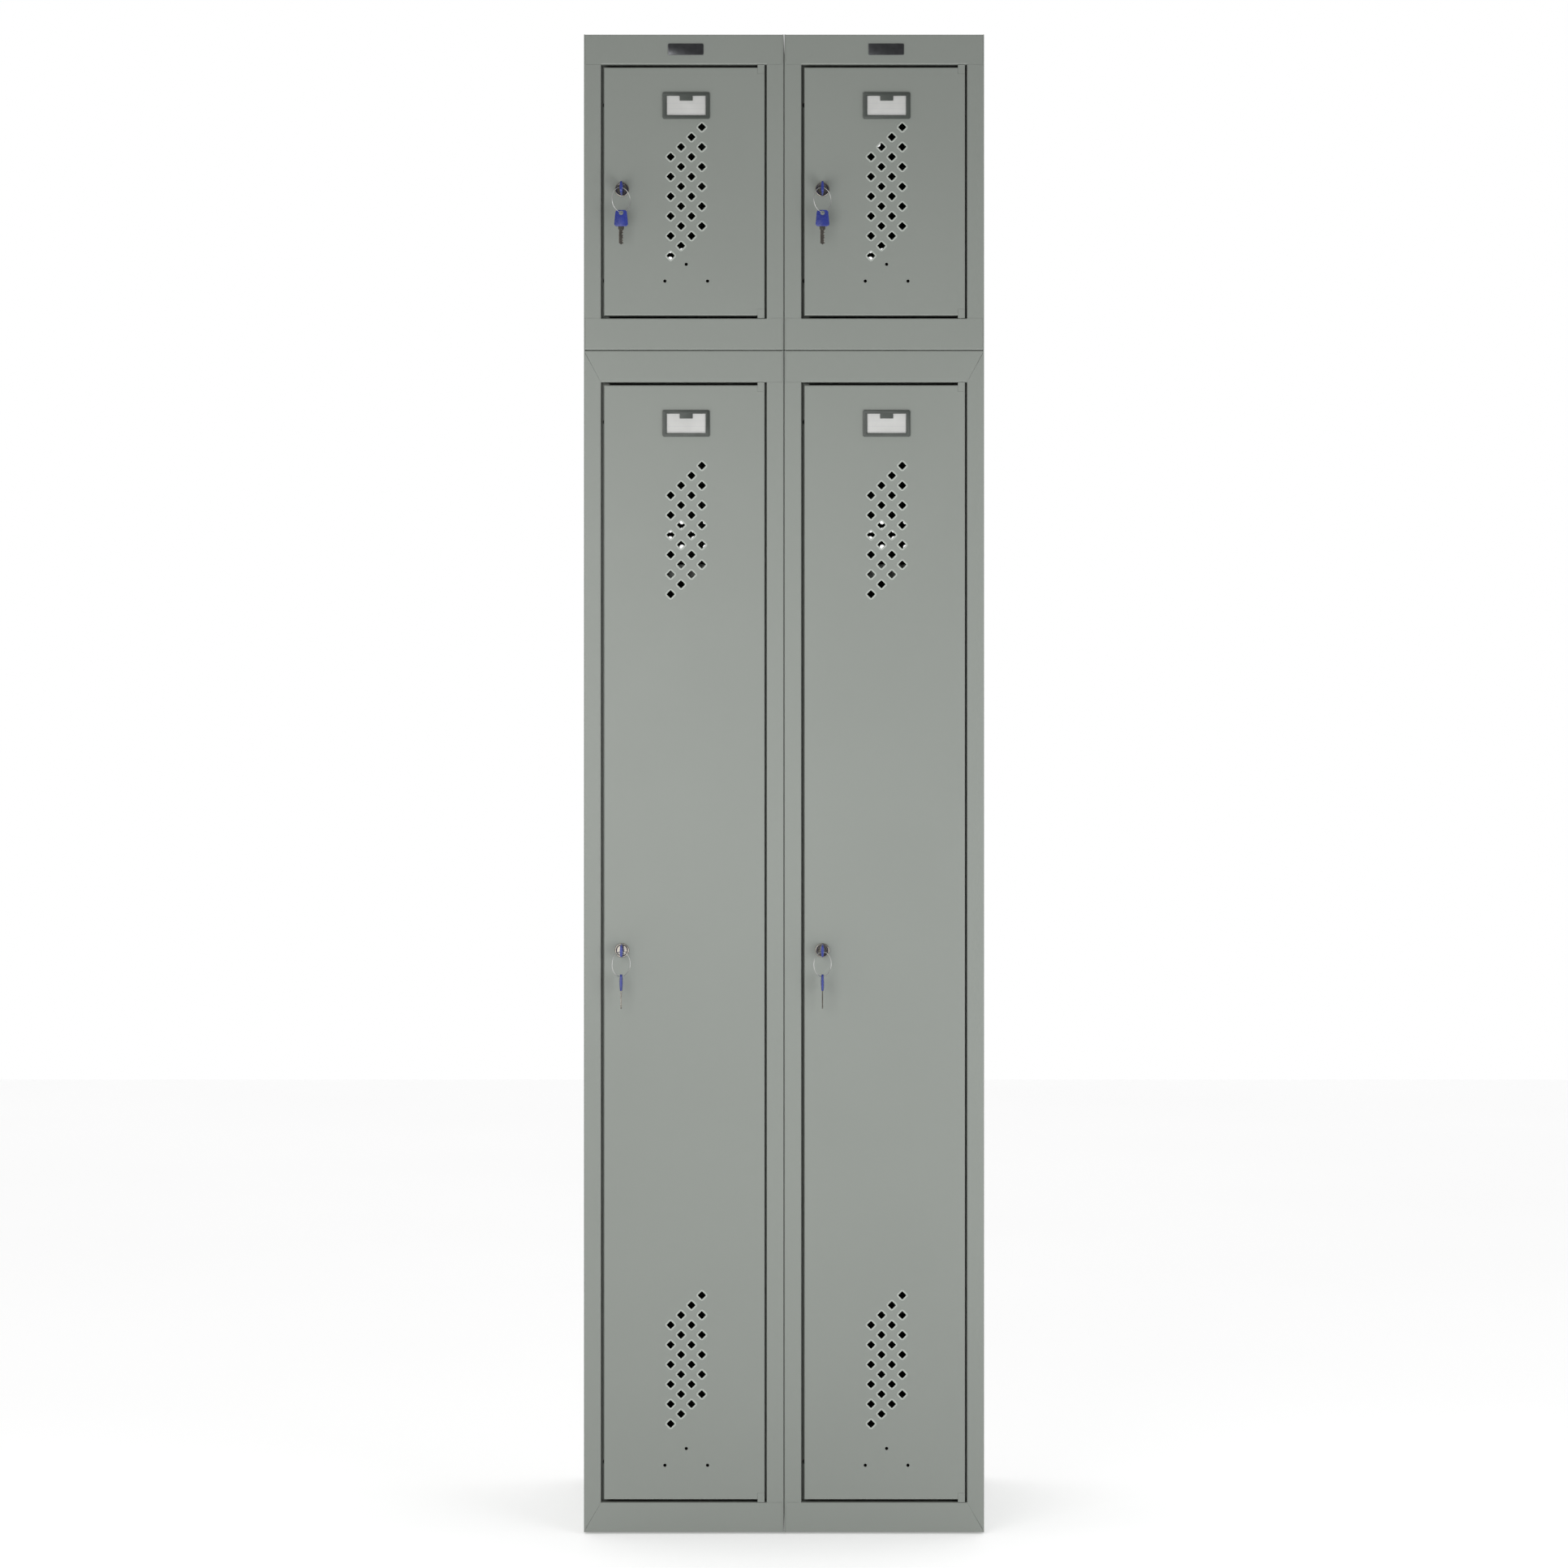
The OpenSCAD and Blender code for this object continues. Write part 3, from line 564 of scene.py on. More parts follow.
def merged_copy(name, source, finish, width):
    """A copy of a CAD node's mesh with its triangles joined and its sharp edges rounded."""
    mesh = NODES[source].data.copy()
    mesh.name = name
    work = bmesh.new()
    work.from_mesh(mesh)
    bmesh.ops.remove_doubles(work, verts=work.verts, dist=1e-6)
    bmesh.ops.dissolve_limit(work, angle_limit=math.radians(FLAT_ANGLE), verts=work.verts,
                             edges=work.edges)
    bmesh.ops.recalc_face_normals(work, faces=work.faces)
    work.to_mesh(mesh)
    work.free()
    obj = bpy.data.objects.new(name, mesh)
    bpy.context.scene.collection.objects.link(obj)
    soft = obj.modifiers.new("Soft Edges", "BEVEL")
    soft.width = width
    soft.segments = 2
    soft.limit_method = "ANGLE"
    soft.angle_limit = math.radians(BEVEL_ANGLE)
    soft.harden_normals = True
    mesh.shade_smooth()
    paint(obj, finish)
    return obj


# ---------- geometry nodes ----------

def geometry_tree(name, inputs):
    """A geometry tree with named inputs, its group input and its output."""
    tree, start, end = new_group(name, "GeometryNodeTree")
    socket(tree, "Geometry", "NodeSocketGeometry")
    for label, (kind, value) in inputs.items():
        socket(tree, label, kind, value)
    socket(tree, "Material", "NodeSocketMaterial")
    socket(tree, "Geometry", "NodeSocketGeometry", out=True)
    return tree, start, end


def finish_tree(tree, start, end, geometry):
    """Ends a tree with real geometry in its material."""
    real = node(tree, "GeometryNodeRealizeInstances", {0: geometry})
    painted = node(tree, "GeometryNodeSetMaterial",
                   {"Geometry": real.outputs[0], "Material": start.outputs["Material"]})
    tree.links.new(painted.outputs[0], end.inputs["Geometry"])


def grown(name, tree, finish, values, points, edges=()):
    """The plain mesh that a tree makes from points and edges with these values."""
    mesh = bpy.data.meshes.new(name + "_seed")
    mesh.from_pydata([tuple(p) for p in points], list(edges), [])
    seed = bpy.data.objects.new(name + "_seed", mesh)
    bpy.context.scene.collection.objects.link(seed)
    modifier = seed.modifiers.new("Grow", "NODES")
    modifier.node_group = tree
    values = dict(values, Material=material(finish))
    for item in tree.interface.items_tree:
        if item.item_type == "SOCKET" and item.in_out == "INPUT" and item.name in values:
            modifier[item.identifier] = values[item.name]
    depsgraph = bpy.context.evaluated_depsgraph_get()
    made = bpy.data.meshes.new_from_object(seed.evaluated_get(depsgraph), depsgraph=depsgraph)
    seed.modifiers.clear()
    bpy.data.objects.remove(seed)
    if not made.polygons:
        raise RuntimeError(name + " came out empty")
    made.name = name
    made.shade_smooth()
    made.set_sharp_from_angle(angle=math.radians(SMOOTH_ANGLE))
    obj = bpy.data.objects.new(name, made)
    bpy.context.scene.collection.objects.link(obj)
    paint(obj, finish)
    return obj


def bead_tree():
    """Rims of thicker coat round a slanted block of square holes that stand on their corners."""
    tree, start, end = geometry_tree("Coat Beads", {
        "Columns": ("NodeSocketInt", 4), "Rows": ("NodeSocketInt", 6),
        "Pitch X": ("NodeSocketFloat", 0.016), "Pitch Z": ("NodeSocketFloat", 0.031),
        "Side": ("NodeSocketFloat", 0.009), "Width": ("NodeSocketFloat", 0.001),
        "Height": ("NodeSocketFloat", 0.0003)})
    wide = maths(tree, "ADD", start.outputs["Side"], start.outputs["Width"])
    one = node(tree, "GeometryNodeCurvePrimitiveQuadrilateral", {"Width": wide, "Height": wide})
    round_off = node(tree, "GeometryNodeFilletCurve",
                     {"Curve": one.outputs[0], "Radius": start.outputs["Width"], "Count": 4},
                     mode="POLY")
    half = maths(tree, "MULTIPLY", start.outputs["Width"], 0.5)
    section = node(tree, "GeometryNodeCurvePrimitiveCircle", {"Resolution": 8, "Radius": half})
    flat = maths(tree, "DIVIDE", start.outputs["Height"], half)
    shape = node(tree, "ShaderNodeCombineXYZ", {0: 1.0, 1: flat, 2: 1.0})
    oval = node(tree, "GeometryNodeTransform",
                {"Geometry": section.outputs[0], "Scale": shape.outputs[0]})
    rim = node(tree, "GeometryNodeCurveToMesh",
               {"Curve": round_off.outputs[0], "Profile Curve": oval.outputs[0]})
    stood = node(tree, "GeometryNodeTransform", {"Geometry": rim.outputs[0],
                 "Rotation": (math.radians(90), math.radians(45), 0)})
    grid = node(tree, "GeometryNodeMeshGrid",
                {"Size X": 1.0, "Size Y": 1.0, "Vertices X": start.outputs["Columns"],
                 "Vertices Y": start.outputs["Rows"]})
    where = node(tree, "GeometryNodeInputPosition")
    parts = node(tree, "ShaderNodeSeparateXYZ", {0: where.outputs[0]})
    column = count_from_middle(tree, parts.outputs["X"], start.outputs["Columns"])
    row = count_from_middle(tree, parts.outputs["Y"], start.outputs["Rows"])
    across = maths(tree, "MULTIPLY", column, start.outputs["Pitch X"])
    slant = maths(tree, "MULTIPLY_ADD", column, 0.5, row)
    up = maths(tree, "MULTIPLY", slant, start.outputs["Pitch Z"])
    spot = node(tree, "ShaderNodeCombineXYZ", {0: across, 1: 0.0, 2: up})
    spread = node(tree, "GeometryNodeSetPosition",
                  {"Geometry": grid.outputs[0], "Position": spot.outputs[0]})
    placed = node(tree, "GeometryNodeInstanceOnPoints",
                  {"Points": spread.outputs[0], "Instance": stood.outputs[0]})
    middles = node(tree, "GeometryNodeInstanceOnPoints",
                   {"Points": start.outputs["Geometry"], "Instance": placed.outputs[0]})
    finish_tree(tree, start, end, middles.outputs[0])
    return tree


def count_from_middle(tree, share, count):
    """Turns a place from -0.5 to 0.5 into a number of steps from the middle."""
    return maths(tree, "MULTIPLY", share, maths(tree, "SUBTRACT", count, 1.0))


def ring_tree():
    """A split ring: a wire of nearly two turns."""
    tree, start, end = geometry_tree("Split Ring", {
        "Radius": ("NodeSocketFloat", 0.019), "Wire": ("NodeSocketFloat", 0.0004),
        "Pitch": ("NodeSocketFloat", 0.0008), "Turns": ("NodeSocketFloat", 1.9),
        "Tilt": ("NodeSocketFloat", 0.785)})
    coil = node(tree, "GeometryNodeCurveSpiral", {
        "Resolution": 72, "Rotations": start.outputs["Turns"],
        "Start Radius": start.outputs["Radius"], "End Radius": start.outputs["Radius"],
        "Height": start.outputs["Pitch"]})
    section = node(tree, "GeometryNodeCurvePrimitiveCircle",
                   {"Resolution": 10, "Radius": start.outputs["Wire"]})
    wire = node(tree, "GeometryNodeCurveToMesh",
                {"Curve": coil.outputs[0], "Profile Curve": section.outputs[0], "Fill Caps": True})
    half = maths(tree, "MULTIPLY", start.outputs["Pitch"], -0.5)
    down = node(tree, "ShaderNodeCombineXYZ", {2: half})
    centred = node(tree, "GeometryNodeTransform",
                   {"Geometry": wire.outputs[0], "Translation": down.outputs[0]})
    turn = node(tree, "ShaderNodeCombineXYZ",
                {0: math.radians(90), 1: 0.0, 2: start.outputs["Tilt"]})
    stood = node(tree, "GeometryNodeTransform",
                 {"Geometry": centred.outputs[0], "Rotation": turn.outputs[0]})
    placed = node(tree, "GeometryNodeInstanceOnPoints",
                  {"Points": start.outputs["Geometry"], "Instance": stood.outputs[0]})
    finish_tree(tree, start, end, placed.outputs[0])
    return tree


def weld_tree():
    """Shallow round weld marks at even steps along lines."""
    tree, start, end = geometry_tree("Weld Marks", {
        "Spacing": ("NodeSocketFloat", 0.1), "Radius": ("NodeSocketFloat", 0.003),
        "Height": ("NodeSocketFloat", 0.0002), "Facing": ("NodeSocketVector", (0, 1, 0))})
    lines = node(tree, "GeometryNodeMeshToCurve", {0: start.outputs["Geometry"]})
    steps = node(tree, "GeometryNodeResampleCurve",
                 {"Curve": lines.outputs[0], "Length": start.outputs["Spacing"]}, mode="LENGTH")
    dome = node(tree, "GeometryNodeMeshUVSphere",
                {"Segments": 20, "Rings": 8, "Radius": start.outputs["Radius"]})
    flat = maths(tree, "DIVIDE", start.outputs["Height"], start.outputs["Radius"])
    shape = node(tree, "ShaderNodeCombineXYZ", {0: 1.0, 1: 1.0, 2: flat})
    low = node(tree, "GeometryNodeTransform",
               {"Geometry": dome.outputs[0], "Scale": shape.outputs[0]})
    facing = node(tree, "FunctionNodeAlignRotationToVector",
                  {"Vector": start.outputs["Facing"]}, axis="Z")
    placed = node(tree, "GeometryNodeInstanceOnPoints",
                  {"Points": steps.outputs[0], "Instance": low.outputs[0],
                   "Rotation": facing.outputs[0]})
    finish_tree(tree, start, end, placed.outputs[0])
    return tree


# ---------- the pieces ----------

class LOCKER_OT_coat_sheet_metal(bpy.types.Operator):
    """Powder-coats the panels, doors, stiffeners and lugs."""
    bl_idname = "locker.coat_sheet_metal"
    bl_label = "Coat Sheet Metal"

    def execute(self, context):
        for part in frame["record"]["subparts"]:
            if part["material_slot"] == "powder_coat":
                paint_node(part["node"], "powder_coat")
        return {"FINISHED"}


class LOCKER_OT_finish_fittings(bpy.types.Operator):
    """Gives the steel, plastic and rubber fittings their finishes."""
    bl_idname = "locker.finish_fittings"
    bl_label = "Finish Fittings"

    def execute(self, context):
        for part in frame["record"]["subparts"]:
            if part["material_slot"] != "powder_coat":
                paint_node(part["node"], part["material_slot"])
        return {"FINISHED"}


VENT = {"pitch_x": 16.1 * MM, "pitch_z": 30.6 * MM, "side": 9.3 * MM, "columns": 4, "rows": 6,
        "shift": 3 * MM, "drop": 224 * MM, "low": 216.5 * MM}


class LOCKER_OT_bead_vents(bpy.types.Operator):
    """Builds the beads of coat round the punched door vents, in a coat painted lighter as a painted
    highlight.
    """
    bl_idname = "locker.bead_vents"
    bl_label = "Bead Vents"

    def execute(self, context):
        coat = context.scene.locker_coat
        tree = bead_tree()
        for unit in UNITS:
            low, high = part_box(unit + "_door")
            x = (low[0] + high[0]) / 2 + VENT["shift"]
            heights = [(low[2] + high[2]) / 2]
            if unit.startswith("lower"):
                heights = [high[2] - VENT["drop"], low[2] + VENT["low"]]
            # The beads are real rims of coat; their lighter colour is a painted highlight.
            made = grown(unit + "_vent_beads", tree, "bead_coat_painted_highlight", {
                "Columns": VENT["columns"], "Rows": VENT["rows"], "Pitch X": VENT["pitch_x"],
                "Pitch Z": VENT["pitch_z"], "Side": VENT["side"], "Width": coat.bead_width,
                "Height": coat.bead_height}, points=[(x, low[1], z) for z in heights])
            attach(made, unit + "_door")
        return {"FINISHED"}


class LOCKER_OT_mark_welds(bpy.types.Operator):
    """Builds the weld marks down the folds behind the back panels."""
    bl_idname = "locker.mark_welds"
    bl_label = "Mark Welds"

    def execute(self, context):
        inset, from_end, spacing = 7 * MM, 50 * MM, 120 * MM
        lines = []
        for unit in UNITS:
            low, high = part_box(unit + "_back")
            back = max(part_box(unit + "_" + side + "_side")[1][1] for side in ("outer", "inner"))
            for x in (low[0] + inset, high[0] - inset):
                lines.append((Vector((x, back, low[2] + from_end)),
                              Vector((x, back, high[2] - from_end))))
        points = [p for line in lines for p in line]
        edges = [(2 * i, 2 * i + 1) for i in range(len(lines))]
        made = grown("weld_marks", weld_tree(), "powder_coat", {
            "Spacing": spacing, "Radius": 3 * MM, "Height": 0.25 * MM, "Facing": (0, 1, 0)},
            points=points, edges=edges)
        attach(made, "root")
        return {"FINISHED"}


class LOCKER_OT_fit_labels(bpy.types.Operator):
    """Fits the moulded label holders, their cards and the blank plates on the top rails."""
    bl_idname = "locker.fit_labels"
    bl_label = "Fit Labels"

    def execute(self, context):
        for unit in UNITS:
            source = unit + "_label_holder"
            holder = merged_copy(unit + "_label_frame", source, "dark_plastic", 0.35 * MM)
            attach(holder, unit + "_door")
            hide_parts(source)
            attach(label_card(unit), unit + "_door")
        plates = merged_copy("top_plates", "nameplates", "plate", 0.3 * MM)
        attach(plates, "root")
        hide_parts("nameplates")
        return {"FINISHED"}


def label_card(unit):
    """The card in a label holder's pocket, bowed a little, with its own UV."""
    low, high = (Vector(p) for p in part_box(unit + "_label_holder"))
    rim, thick, bow, behind = 4.2 * MM, 0.3 * MM, 0.35 * MM, 0.15 * MM
    columns = 16
    verts = []
    for y_side in (0, 1):
        for i in range(columns + 1):
            share = i / columns
            x = low.x + rim + (high.x - low.x - 2 * rim) * share
            y = high.y - behind - bow * math.sin(math.pi * share) - thick * y_side
            verts += [(x, y, low.z + rim), (x, y, high.z - rim)]
    half = 2 * (columns + 1)
    faces = []
    for i in range(columns):
        a = 2 * i
        faces.append((a, a + 2, a + 3, a + 1))
        faces.append((half + a, half + a + 1, half + a + 3, half + a + 2))
        faces.append((a, half + a, half + a + 2, a + 2))
        faces.append((a + 1, a + 3, half + a + 3, half + a + 1))
    end = 2 * columns
    faces += [(0, 1, half + 1, half), (end, half + end, half + end + 1, end + 1)]
    card = add_mesh(unit + "_label_card", verts, faces, "card")
    layer = card.data.uv_layers.new(name="Card")
    for loop in card.data.loops:
        at = card.data.vertices[loop.vertex_index].co
        layer.data[loop.index].uv = ((at.x - low.x) / (high.x - low.x),
                                     (at.z - low.z) / (high.z - low.z))
    return card


class LOCKER_OT_fit_locks(bpy.types.Operator):
    """Turns the lock barrels: a rounded bezel, a threaded body and a chamfered nut."""
    bl_idname = "locker.fit_locks"
    bl_label = "Fit Locks"

    def execute(self, context):
        for unit in UNITS:
            place = lock_place(unit)
            barrel = lathe(unit + "_barrel", barrel_profile(unit), place, "nickel")
            nut = hex_nut(unit + "_nut", place)
            for piece in (barrel, nut):
                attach(piece, unit + "_door")
            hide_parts(unit + "_lock_barrel")
        return {"FINISHED"}


def barrel_profile(unit):
    """(radius, y) points from the plug's bore over the bezel to the end of the thread."""
    low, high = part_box(unit + "_lock_barrel")
    front = low[1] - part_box(unit + "_door")[0][1]
    end = high[1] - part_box(unit + "_door")[0][1]
    bore, rim, body, root = 6.08 * MM, 11 * MM, 9.3 * MM, 8.7 * MM
    roll, roll_steps = 1.1 * MM, 8
    step, dish, lip = 0.9 * MM, 0.5 * MM, 0.2 * MM
    step_width, dish_width, lip_width = 0.4 * MM, 1.5 * MM, 1.8 * MM
    chamfer, foot_chamfer = 0.5 * MM, 0.3 * MM
    shank, unthreaded, pitch = 5 * MM, 6 * MM, 1 * MM
    points = [(bore, front + step), (bore + step_width, front + dish),
              (bore + dish_width, front + dish), (bore + lip_width, front + lip)]
    for k in range(roll_steps + 1):
        angle = math.radians(-90 + 90 * k / roll_steps)
        points.append((rim - roll + roll * math.cos(angle), front + roll + roll * math.sin(angle)))
    points += [(rim, -foot_chamfer), (rim - foot_chamfer, 0), (body, 0), (body, shank)]
    for k in range(int((end - unthreaded) / pitch)):
        y = shank + pitch * k
        points += [(root, y + pitch / 2), (body, y + pitch)]
    points += [(body, end - chamfer), (body - chamfer, end), (bore, end)]
    return points


def hex_nut(name, place):
    """A hexagonal nut with turned corners, behind a door's skin."""
    across, bore = 13 * MM * math.cos(math.pi / 6), 9.4 * MM
    y_front, y_back, steps = 0.8 * MM, 4.8 * MM, 96
    cut, washer_face = 0.7 * MM, 1.02
    verts = []
    levels = [(y_front, "bore"), (y_front, "face"), (y_front + cut, "corners"),
              (y_back - cut, "corners"), (y_back, "face"), (y_back, "bore")]
    for y, ring in levels:
        for k in range(steps):
            angle = math.tau * k / steps
            nearest = (angle + math.pi / 6) % (math.pi / 3) - math.pi / 6
            radius = across / math.cos(nearest)
            if ring == "bore":
                radius = bore
            elif ring == "face":
                radius = min(radius, across * washer_face)
            turned = angle + math.pi / 6
            verts.append(place + Vector((radius * math.cos(turned), y, radius * math.sin(turned))))
    return add_mesh(name, verts, closed_bands(len(levels), steps), "nickel", smooth_angle=25)


BOW = {"top": 4.5 * MM, "length": 25 * MM, "top_half": 8.6 * MM, "base_half": 11 * MM,
       "corner": 4 * MM}
BLADE = {"length": 28 * MM, "half": 3.5 * MM, "shoulder": 5 * MM, "shoulder_half": 4.5 * MM}


def bow_mesh():
    """Points and faces of a moulded bow, its hole at the origin and its thickness along Y."""
    sizes = bpy.context.scene.locker_key
    base = BOW["top"] - BOW["length"]
    corners = [(BOW["top_half"], BOW["top"]), (-BOW["top_half"], BOW["top"]),
               (-BOW["base_half"], base), (BOW["base_half"], base)]
    rim = resampled(rounded_outline(corners, BOW["corner"], steps=10), count=96)
    shares = [0, 0.05, 0.14, 0.3, 0.5, 0.68, 0.82, 0.91, 0.965, 0.99, 1]
    verts, faces = [], []
    for side in (-1, 1):
        for share in shares:
            for p in rim:
                inner = p.normalized() * sizes.hole
                x, z = inner.lerp(p, share)
                verts.append((x, side * bow_half(x, z, share, p.length * (1 - share), sizes), z))
    count, rows = len(rim), len(shares)
    for side in (0, 1):
        for i in range(rows - 1):
            a = (side * rows + i) * count
            faces += band(a, a + count, count)
    for i in (0, rows - 1):
        faces += band(i * count, (rows + i) * count, count)
    return verts, faces


def bow_half(x, z, share, from_rim, sizes):
    """Half the bow's thickness: crowned across its width, thinner at its hole, rolled at its rim."""
    at_ends, at_rim, at_hole = 0.72, 0.55, 0.78
    roll, hollow = 0.9 * MM, 0.1
    down = (BOW["top"] - z) / BOW["length"]
    crown = sizes.rim + (sizes.crown - sizes.rim) * (1 - (x / BOW["base_half"]) ** 2)
    crown *= at_ends + (1 - at_ends) * math.sin(math.pi * min(1.0, max(0.0, down)))
    if from_rim < roll:
        crown *= at_rim + (1 - at_rim) * math.sqrt(max(0.0, 1 - (1 - from_rim / roll) ** 2))
    if share < hollow:
        crown *= at_hole + (1 - at_hole) * share / hollow
    return crown / 2


def blade_cut(down):
    """How deep the bitting is cut at a distance down the blade."""
    cuts = [(8.0, 1.1), (12.0, 1.9), (16.0, 0.8), (20.0, 1.6), (23.5, 1.2)]
    half_flat, ramp = 0.5, 1.3
    deepest = 0.0
    for at, depth in cuts:
        slope = max(0.0, 1 - max(0.0, abs(down / MM - at) - half_flat) / ramp)
        deepest = max(deepest, depth * slope)
    return deepest * MM


def blade_mesh():
    """Points and faces of a blade: shoulders, a milled groove, a cut edge and a pointed tip."""
    thick = bpy.context.scene.locker_key.blade / 2
    columns = [(0, 0.5), (0.1, 1), (0.34, 1), (0.38, 0.5), (0.52, 0.5), (0.56, 1), (0.9, 1), (1, 0.5)]
    buried, point, blunt, steps = 1.5 * MM, 2 * MM, 0.12, 90
    base = BOW["top"] - BOW["length"] + buried
    length = BLADE["length"] + buried
    verts, faces = [], []
    for i in range(steps + 1):
        down = i * length / steps
        into = down - buried
        left, right = -BLADE["half"], BLADE["half"] - blade_cut(into)
        if into <= BLADE["shoulder"]:
            left, right = -BLADE["shoulder_half"], BLADE["shoulder_half"]
        tip = BLADE["length"] - into
        if tip < point:
            squeeze = max(blunt, tip / point)
            left, right = left * squeeze, right * squeeze
        for side in (-1, 1):
            for share, fullness in columns:
                plain = 1 if into <= BLADE["shoulder"] and 0 < share < 1 else fullness
                verts.append((left + (right - left) * share, side * thick * plain, base - down))
    width = len(columns)
    for i in range(steps):
        for side in (0, 1):
            a = (2 * i + side) * width
            b = a + 2 * width
            for k in range(width - 1):
                faces.append((a + k, a + k + 1, b + k + 1, b + k))
        for k in (0, width - 1):
            a = 2 * i * width + k
            faces.append((a, a + width, a + 3 * width, a + 2 * width))
    for i in (0, steps):
        a = 2 * i * width
        for k in range(width - 1):
            faces.append((a + k, a + k + 1, a + width + k + 1, a + width + k))
    return verts, faces


class LOCKER_OT_fit_keys(bpy.types.Operator):
    """Fits each lock's working key and the spare key on its ring."""
    bl_idname = "locker.fit_keys"
    bl_label = "Fit Keys"

    def execute(self, context):
        for unit in UNITS:
            hole = key_hole_place(unit)
            spare_hole = hole.copy()
            low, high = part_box(unit + "_spare_key")
            spare_hole.z = high[2] - BOW["top"]
            edge_on = (high[1] - low[1]) > (high[0] - low[0])
            spare_turn = [(90 if edge_on else 0, "Z")]
            self.fit(unit + "_key", unit + "_key", hole, [(90, "Y"), (90, "X")])
            self.fit(unit + "_spare_key", unit + "_spare", spare_hole, spare_turn)
        return {"FINISHED"}

    def fit(self, source, body, place, turns):
        """Builds one key's bow and blade for a CAD key that rides on a body."""
        verts, faces = bow_mesh()
        bow = add_mesh(source + "_bow", moved(verts, place, *turns), faces, "key_plastic",
                       smooth_angle=50)
        verts, faces = blade_mesh()
        blade = add_mesh(source + "_blade", moved(verts, place, *turns), faces, "nickel",
                         smooth_angle=30)
        for piece, slot in ((bow, "key_plastic"), (blade, "nickel")):
            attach(piece, body)
        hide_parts(source)


class LOCKER_OT_hang_rings(bpy.types.Operator):
    """Hangs a split ring from each working key."""
    bl_idname = "locker.hang_rings"
    bl_label = "Hang Rings"

    def execute(self, context):
        ring = context.scene.locker_ring
        tree = ring_tree()
        for unit in UNITS:
            low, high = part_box(unit + "_key_ring")
            radius = (high[2] - low[2]) / 2 - ring.wire
            made = grown(unit + "_split_ring", tree, "bright_steel", {
                "Radius": radius, "Wire": ring.wire / 2, "Pitch": ring.wire,
                "Turns": ring.turns, "Tilt": math.radians(45)},
                points=[middle(unit + "_key_ring")])
            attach(made, unit + "_ring")
            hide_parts(unit + "_key_ring")
        return {"FINISHED"}


# ---------- the stage ----------

SOFTBOXES = {
    "Front Softbox": {"across": -0.7, "away": 1.9, "up": 1.35, "size": 1.2,
                      "power": "front_light", "colour": (1.0, 1.0, 0.985)},
    "Side Softbox": {"across": 1.2, "away": 1.7, "up": 0.95, "size": 1.0,
                     "power": "side_light", "colour": (0.97, 0.985, 1.0)}}
FLOOR_REACH = 9.0


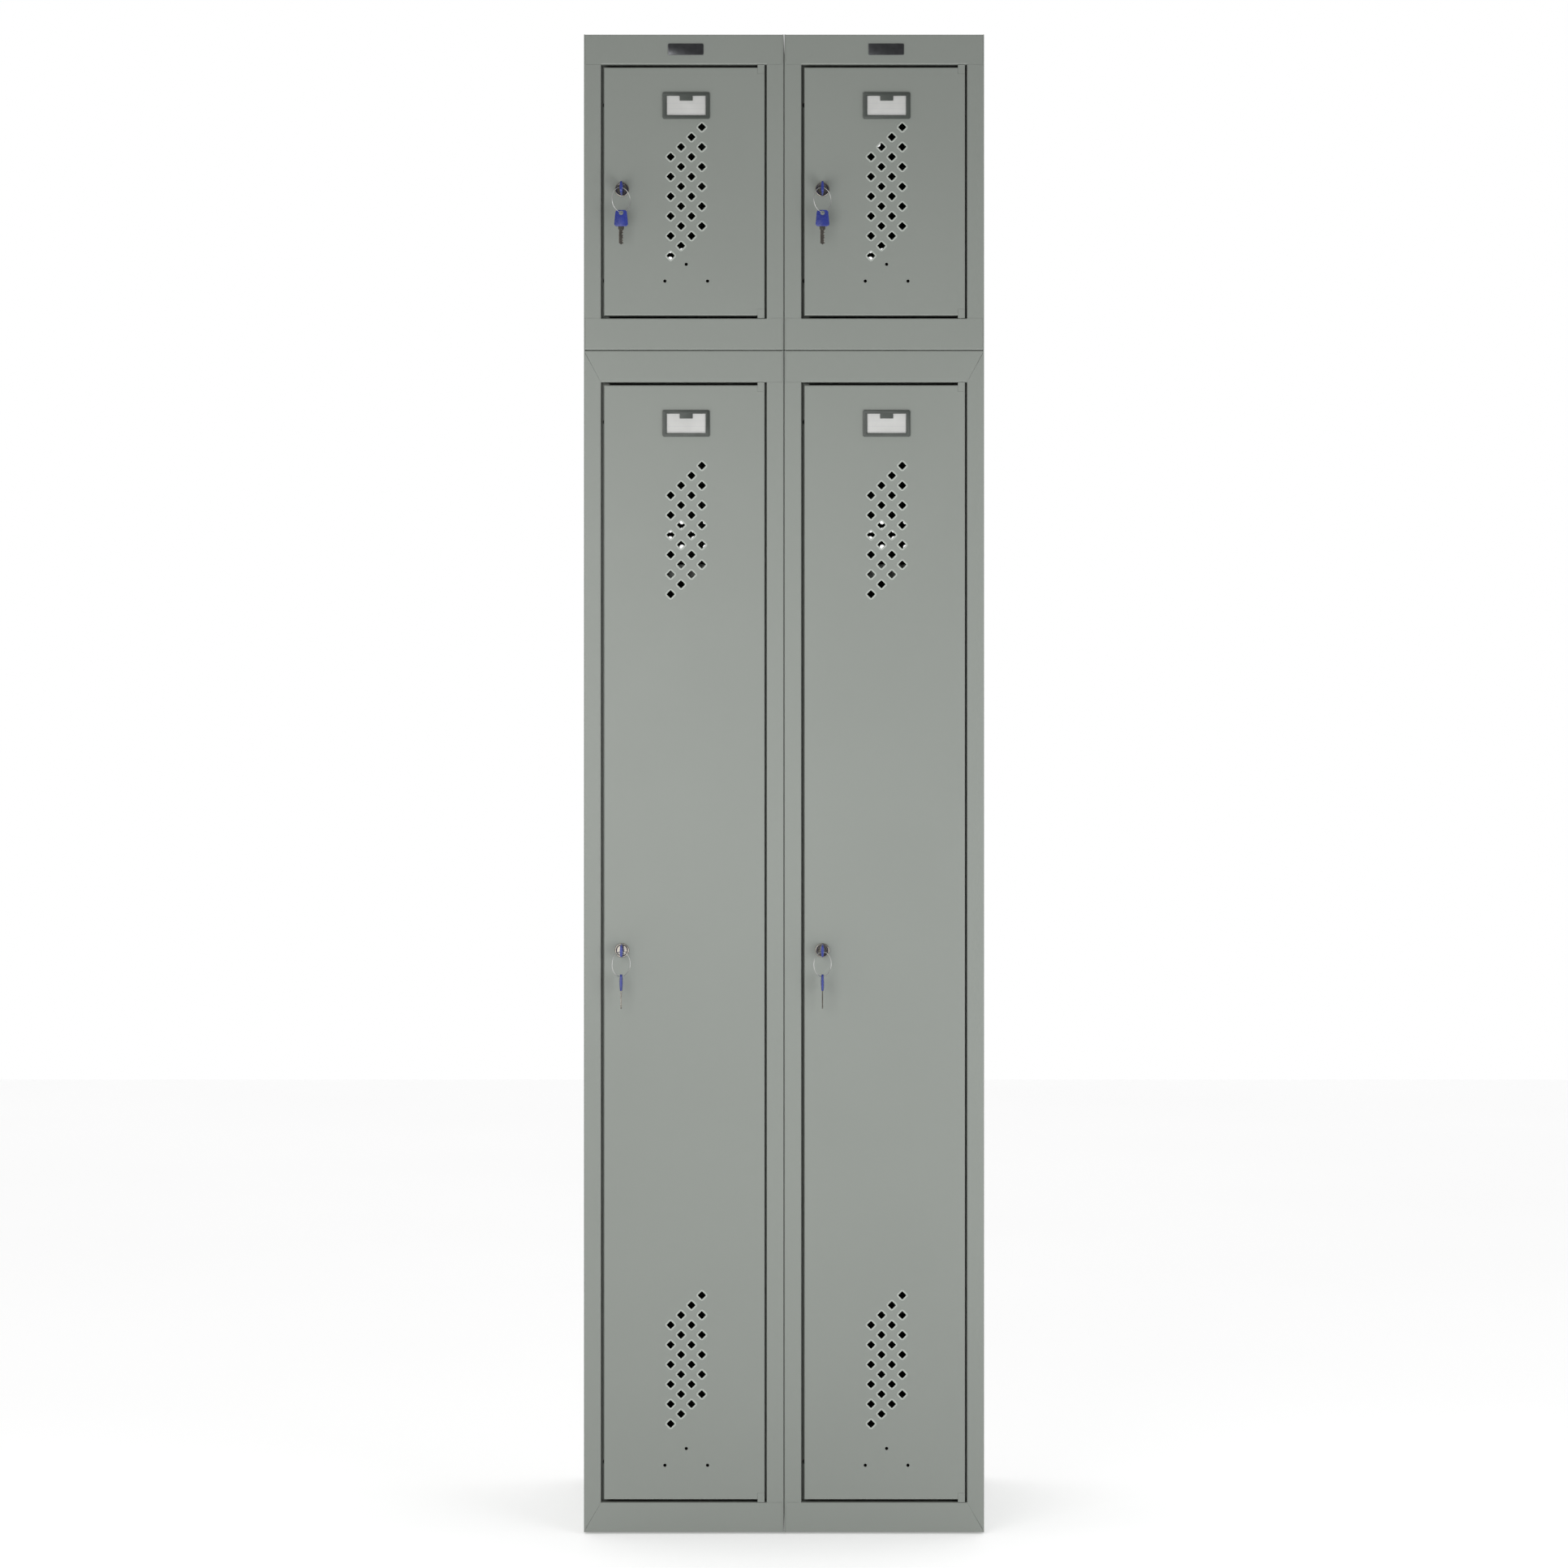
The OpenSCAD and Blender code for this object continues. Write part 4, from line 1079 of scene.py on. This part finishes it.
class LOCKER_OT_build_stage(bpy.types.Operator):
    """Builds the floor, the studio light and the camera."""
    bl_idname = "locker.build_stage"
    bl_label = "Build Stage"

    def execute(self, context):
        stage = context.scene.locker_stage
        context.scene.view_settings.view_transform = "Standard"
        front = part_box("lower_left_door")[0][1]
        self.add_floor(context, stage)
        self.add_camera(context, stage, front)
        self.add_sky(context, stage)
        for name, box in SOFTBOXES.items():
            self.add_softbox(context, name, box, stage, front)
        return {"FINISHED"}

    def add_floor(self, context, stage):
        """A plain pale floor that gives a little light itself."""
        mesh = bpy.data.meshes.new("floor")
        corners = [(x * FLOOR_REACH, y * FLOOR_REACH, 0)
                   for x, y in ((-1, -1), (1, -1), (1, 1), (-1, 1))]
        mesh.from_pydata(corners, [], [(0, 1, 2, 3)])
        floor = bpy.data.objects.new("floor", mesh)
        context.scene.collection.objects.link(floor)
        made, tree, shader, at = start_material("Pale Floor")
        toned(tree, shader, at.outputs["Object"], shade(stage.floor_colour, 1.0),
              shade(stage.floor_colour, 0.985), scale=0.7)
        shader.inputs["Roughness"].default_value = 0.75
        shader.inputs["Emission Color"].default_value = shade(stage.floor_colour, 1.0)
        shader.inputs["Emission Strength"].default_value = stage.floor_glow
        mesh.materials.append(made)

    def add_camera(self, context, stage, front):
        """A level camera, shifted back by as much as it stands to the side."""
        data = bpy.data.cameras.new("Camera")
        camera = bpy.data.objects.new("Camera", data)
        context.scene.collection.objects.link(camera)
        camera.location = (stage.side_step, front - stage.camera_distance, stage.eye_height)
        camera.rotation_euler = (math.radians(90), 0, 0)
        data.sensor_width = 36.0
        data.lens = data.sensor_width * stage.camera_distance / stage.view_height
        data.shift_x = -stage.side_step / stage.view_height
        context.scene.camera = camera

    def add_sky(self, context, stage):
        """A white studio that is dimmer behind the camera."""
        dimmest, dim_until, full_from = 0.2, -0.75, 0.35
        world = bpy.data.worlds.new("Studio")
        context.scene.world = world
        world.use_nodes = True
        tree = world.node_tree
        sky = tree.nodes["Background"]
        at = tree.nodes.new("ShaderNodeTexCoord")
        parts = node(tree, "ShaderNodeSeparateXYZ", {0: at.outputs["Generated"]})
        level = node(tree, "ShaderNodeMapRange",
                     {"Value": parts.outputs["Y"], "From Min": dim_until,
                      "From Max": full_from, "To Min": dimmest, "To Max": 1.0})
        scaled = maths(tree, "MULTIPLY", level.outputs[0], stage.sky)
        sky.inputs["Color"].default_value = (1, 1, 1, 1)
        tree.links.new(scaled, sky.inputs["Strength"])

    def add_softbox(self, context, name, box, stage, front):
        """A square softbox in front of the doors, turned to them at eye height."""
        data = bpy.data.lights.new(name, "AREA")
        data.shape = "RECTANGLE"
        data.size = box["size"]
        data.size_y = box["size"]
        data.energy = getattr(stage, box["power"])
        data.color = box["colour"]
        light = bpy.data.objects.new(name, data)
        context.scene.collection.objects.link(light)
        light.location = (box["across"], front - box["away"], box["up"])
        light.visible_camera = False
        aim = Vector((0, front, stage.eye_height)) - light.location
        light.rotation_euler = aim.to_track_quat("-Z", "Y").to_euler()


class LOCKER_PT_build(bpy.types.Panel):
    """Lists the steps and the sizes."""
    bl_idname = "LOCKER_PT_build"
    bl_label = "Locker Cabinet"
    bl_space_type = "VIEW_3D"
    bl_region_type = "UI"
    bl_category = "Locker"

    def draw(self, context):
        for step in STEPS:
            self.layout.operator(step.bl_idname)
        for name in SETTINGS:
            settings = getattr(context.scene, name)
            box = self.layout.box()
            for prop in settings.bl_rna.properties:
                if prop.identifier not in ("rna_type", "name"):
                    box.prop(settings, prop.identifier)


SETTINGS = {"locker_coat": LockerCoat, "locker_key": LockerKey, "locker_ring": LockerRing,
            "locker_stage": LockerStage}
STEPS = (LOCKER_OT_coat_sheet_metal, LOCKER_OT_finish_fittings, LOCKER_OT_bead_vents,
         LOCKER_OT_mark_welds, LOCKER_OT_fit_labels, LOCKER_OT_fit_locks, LOCKER_OT_fit_keys,
         LOCKER_OT_hang_rings, LOCKER_OT_build_stage)


def register():
    for kind in list(SETTINGS.values()) + list(STEPS) + [LOCKER_PT_build]:
        bpy.utils.register_class(kind)
    for name, kind in SETTINGS.items():
        setattr(bpy.types.Scene, name, PointerProperty(type=kind))


def unregister():
    for name in SETTINGS:
        delattr(bpy.types.Scene, name)
    for kind in [LOCKER_PT_build] + list(STEPS)[::-1] + list(SETTINGS.values())[::-1]:
        bpy.utils.unregister_class(kind)


def main():
    register()
    for step in STEPS:
        area, action = step.bl_idname.split(".")
        getattr(getattr(bpy.ops, area), action)()


if __name__ == "__main__":
    main()
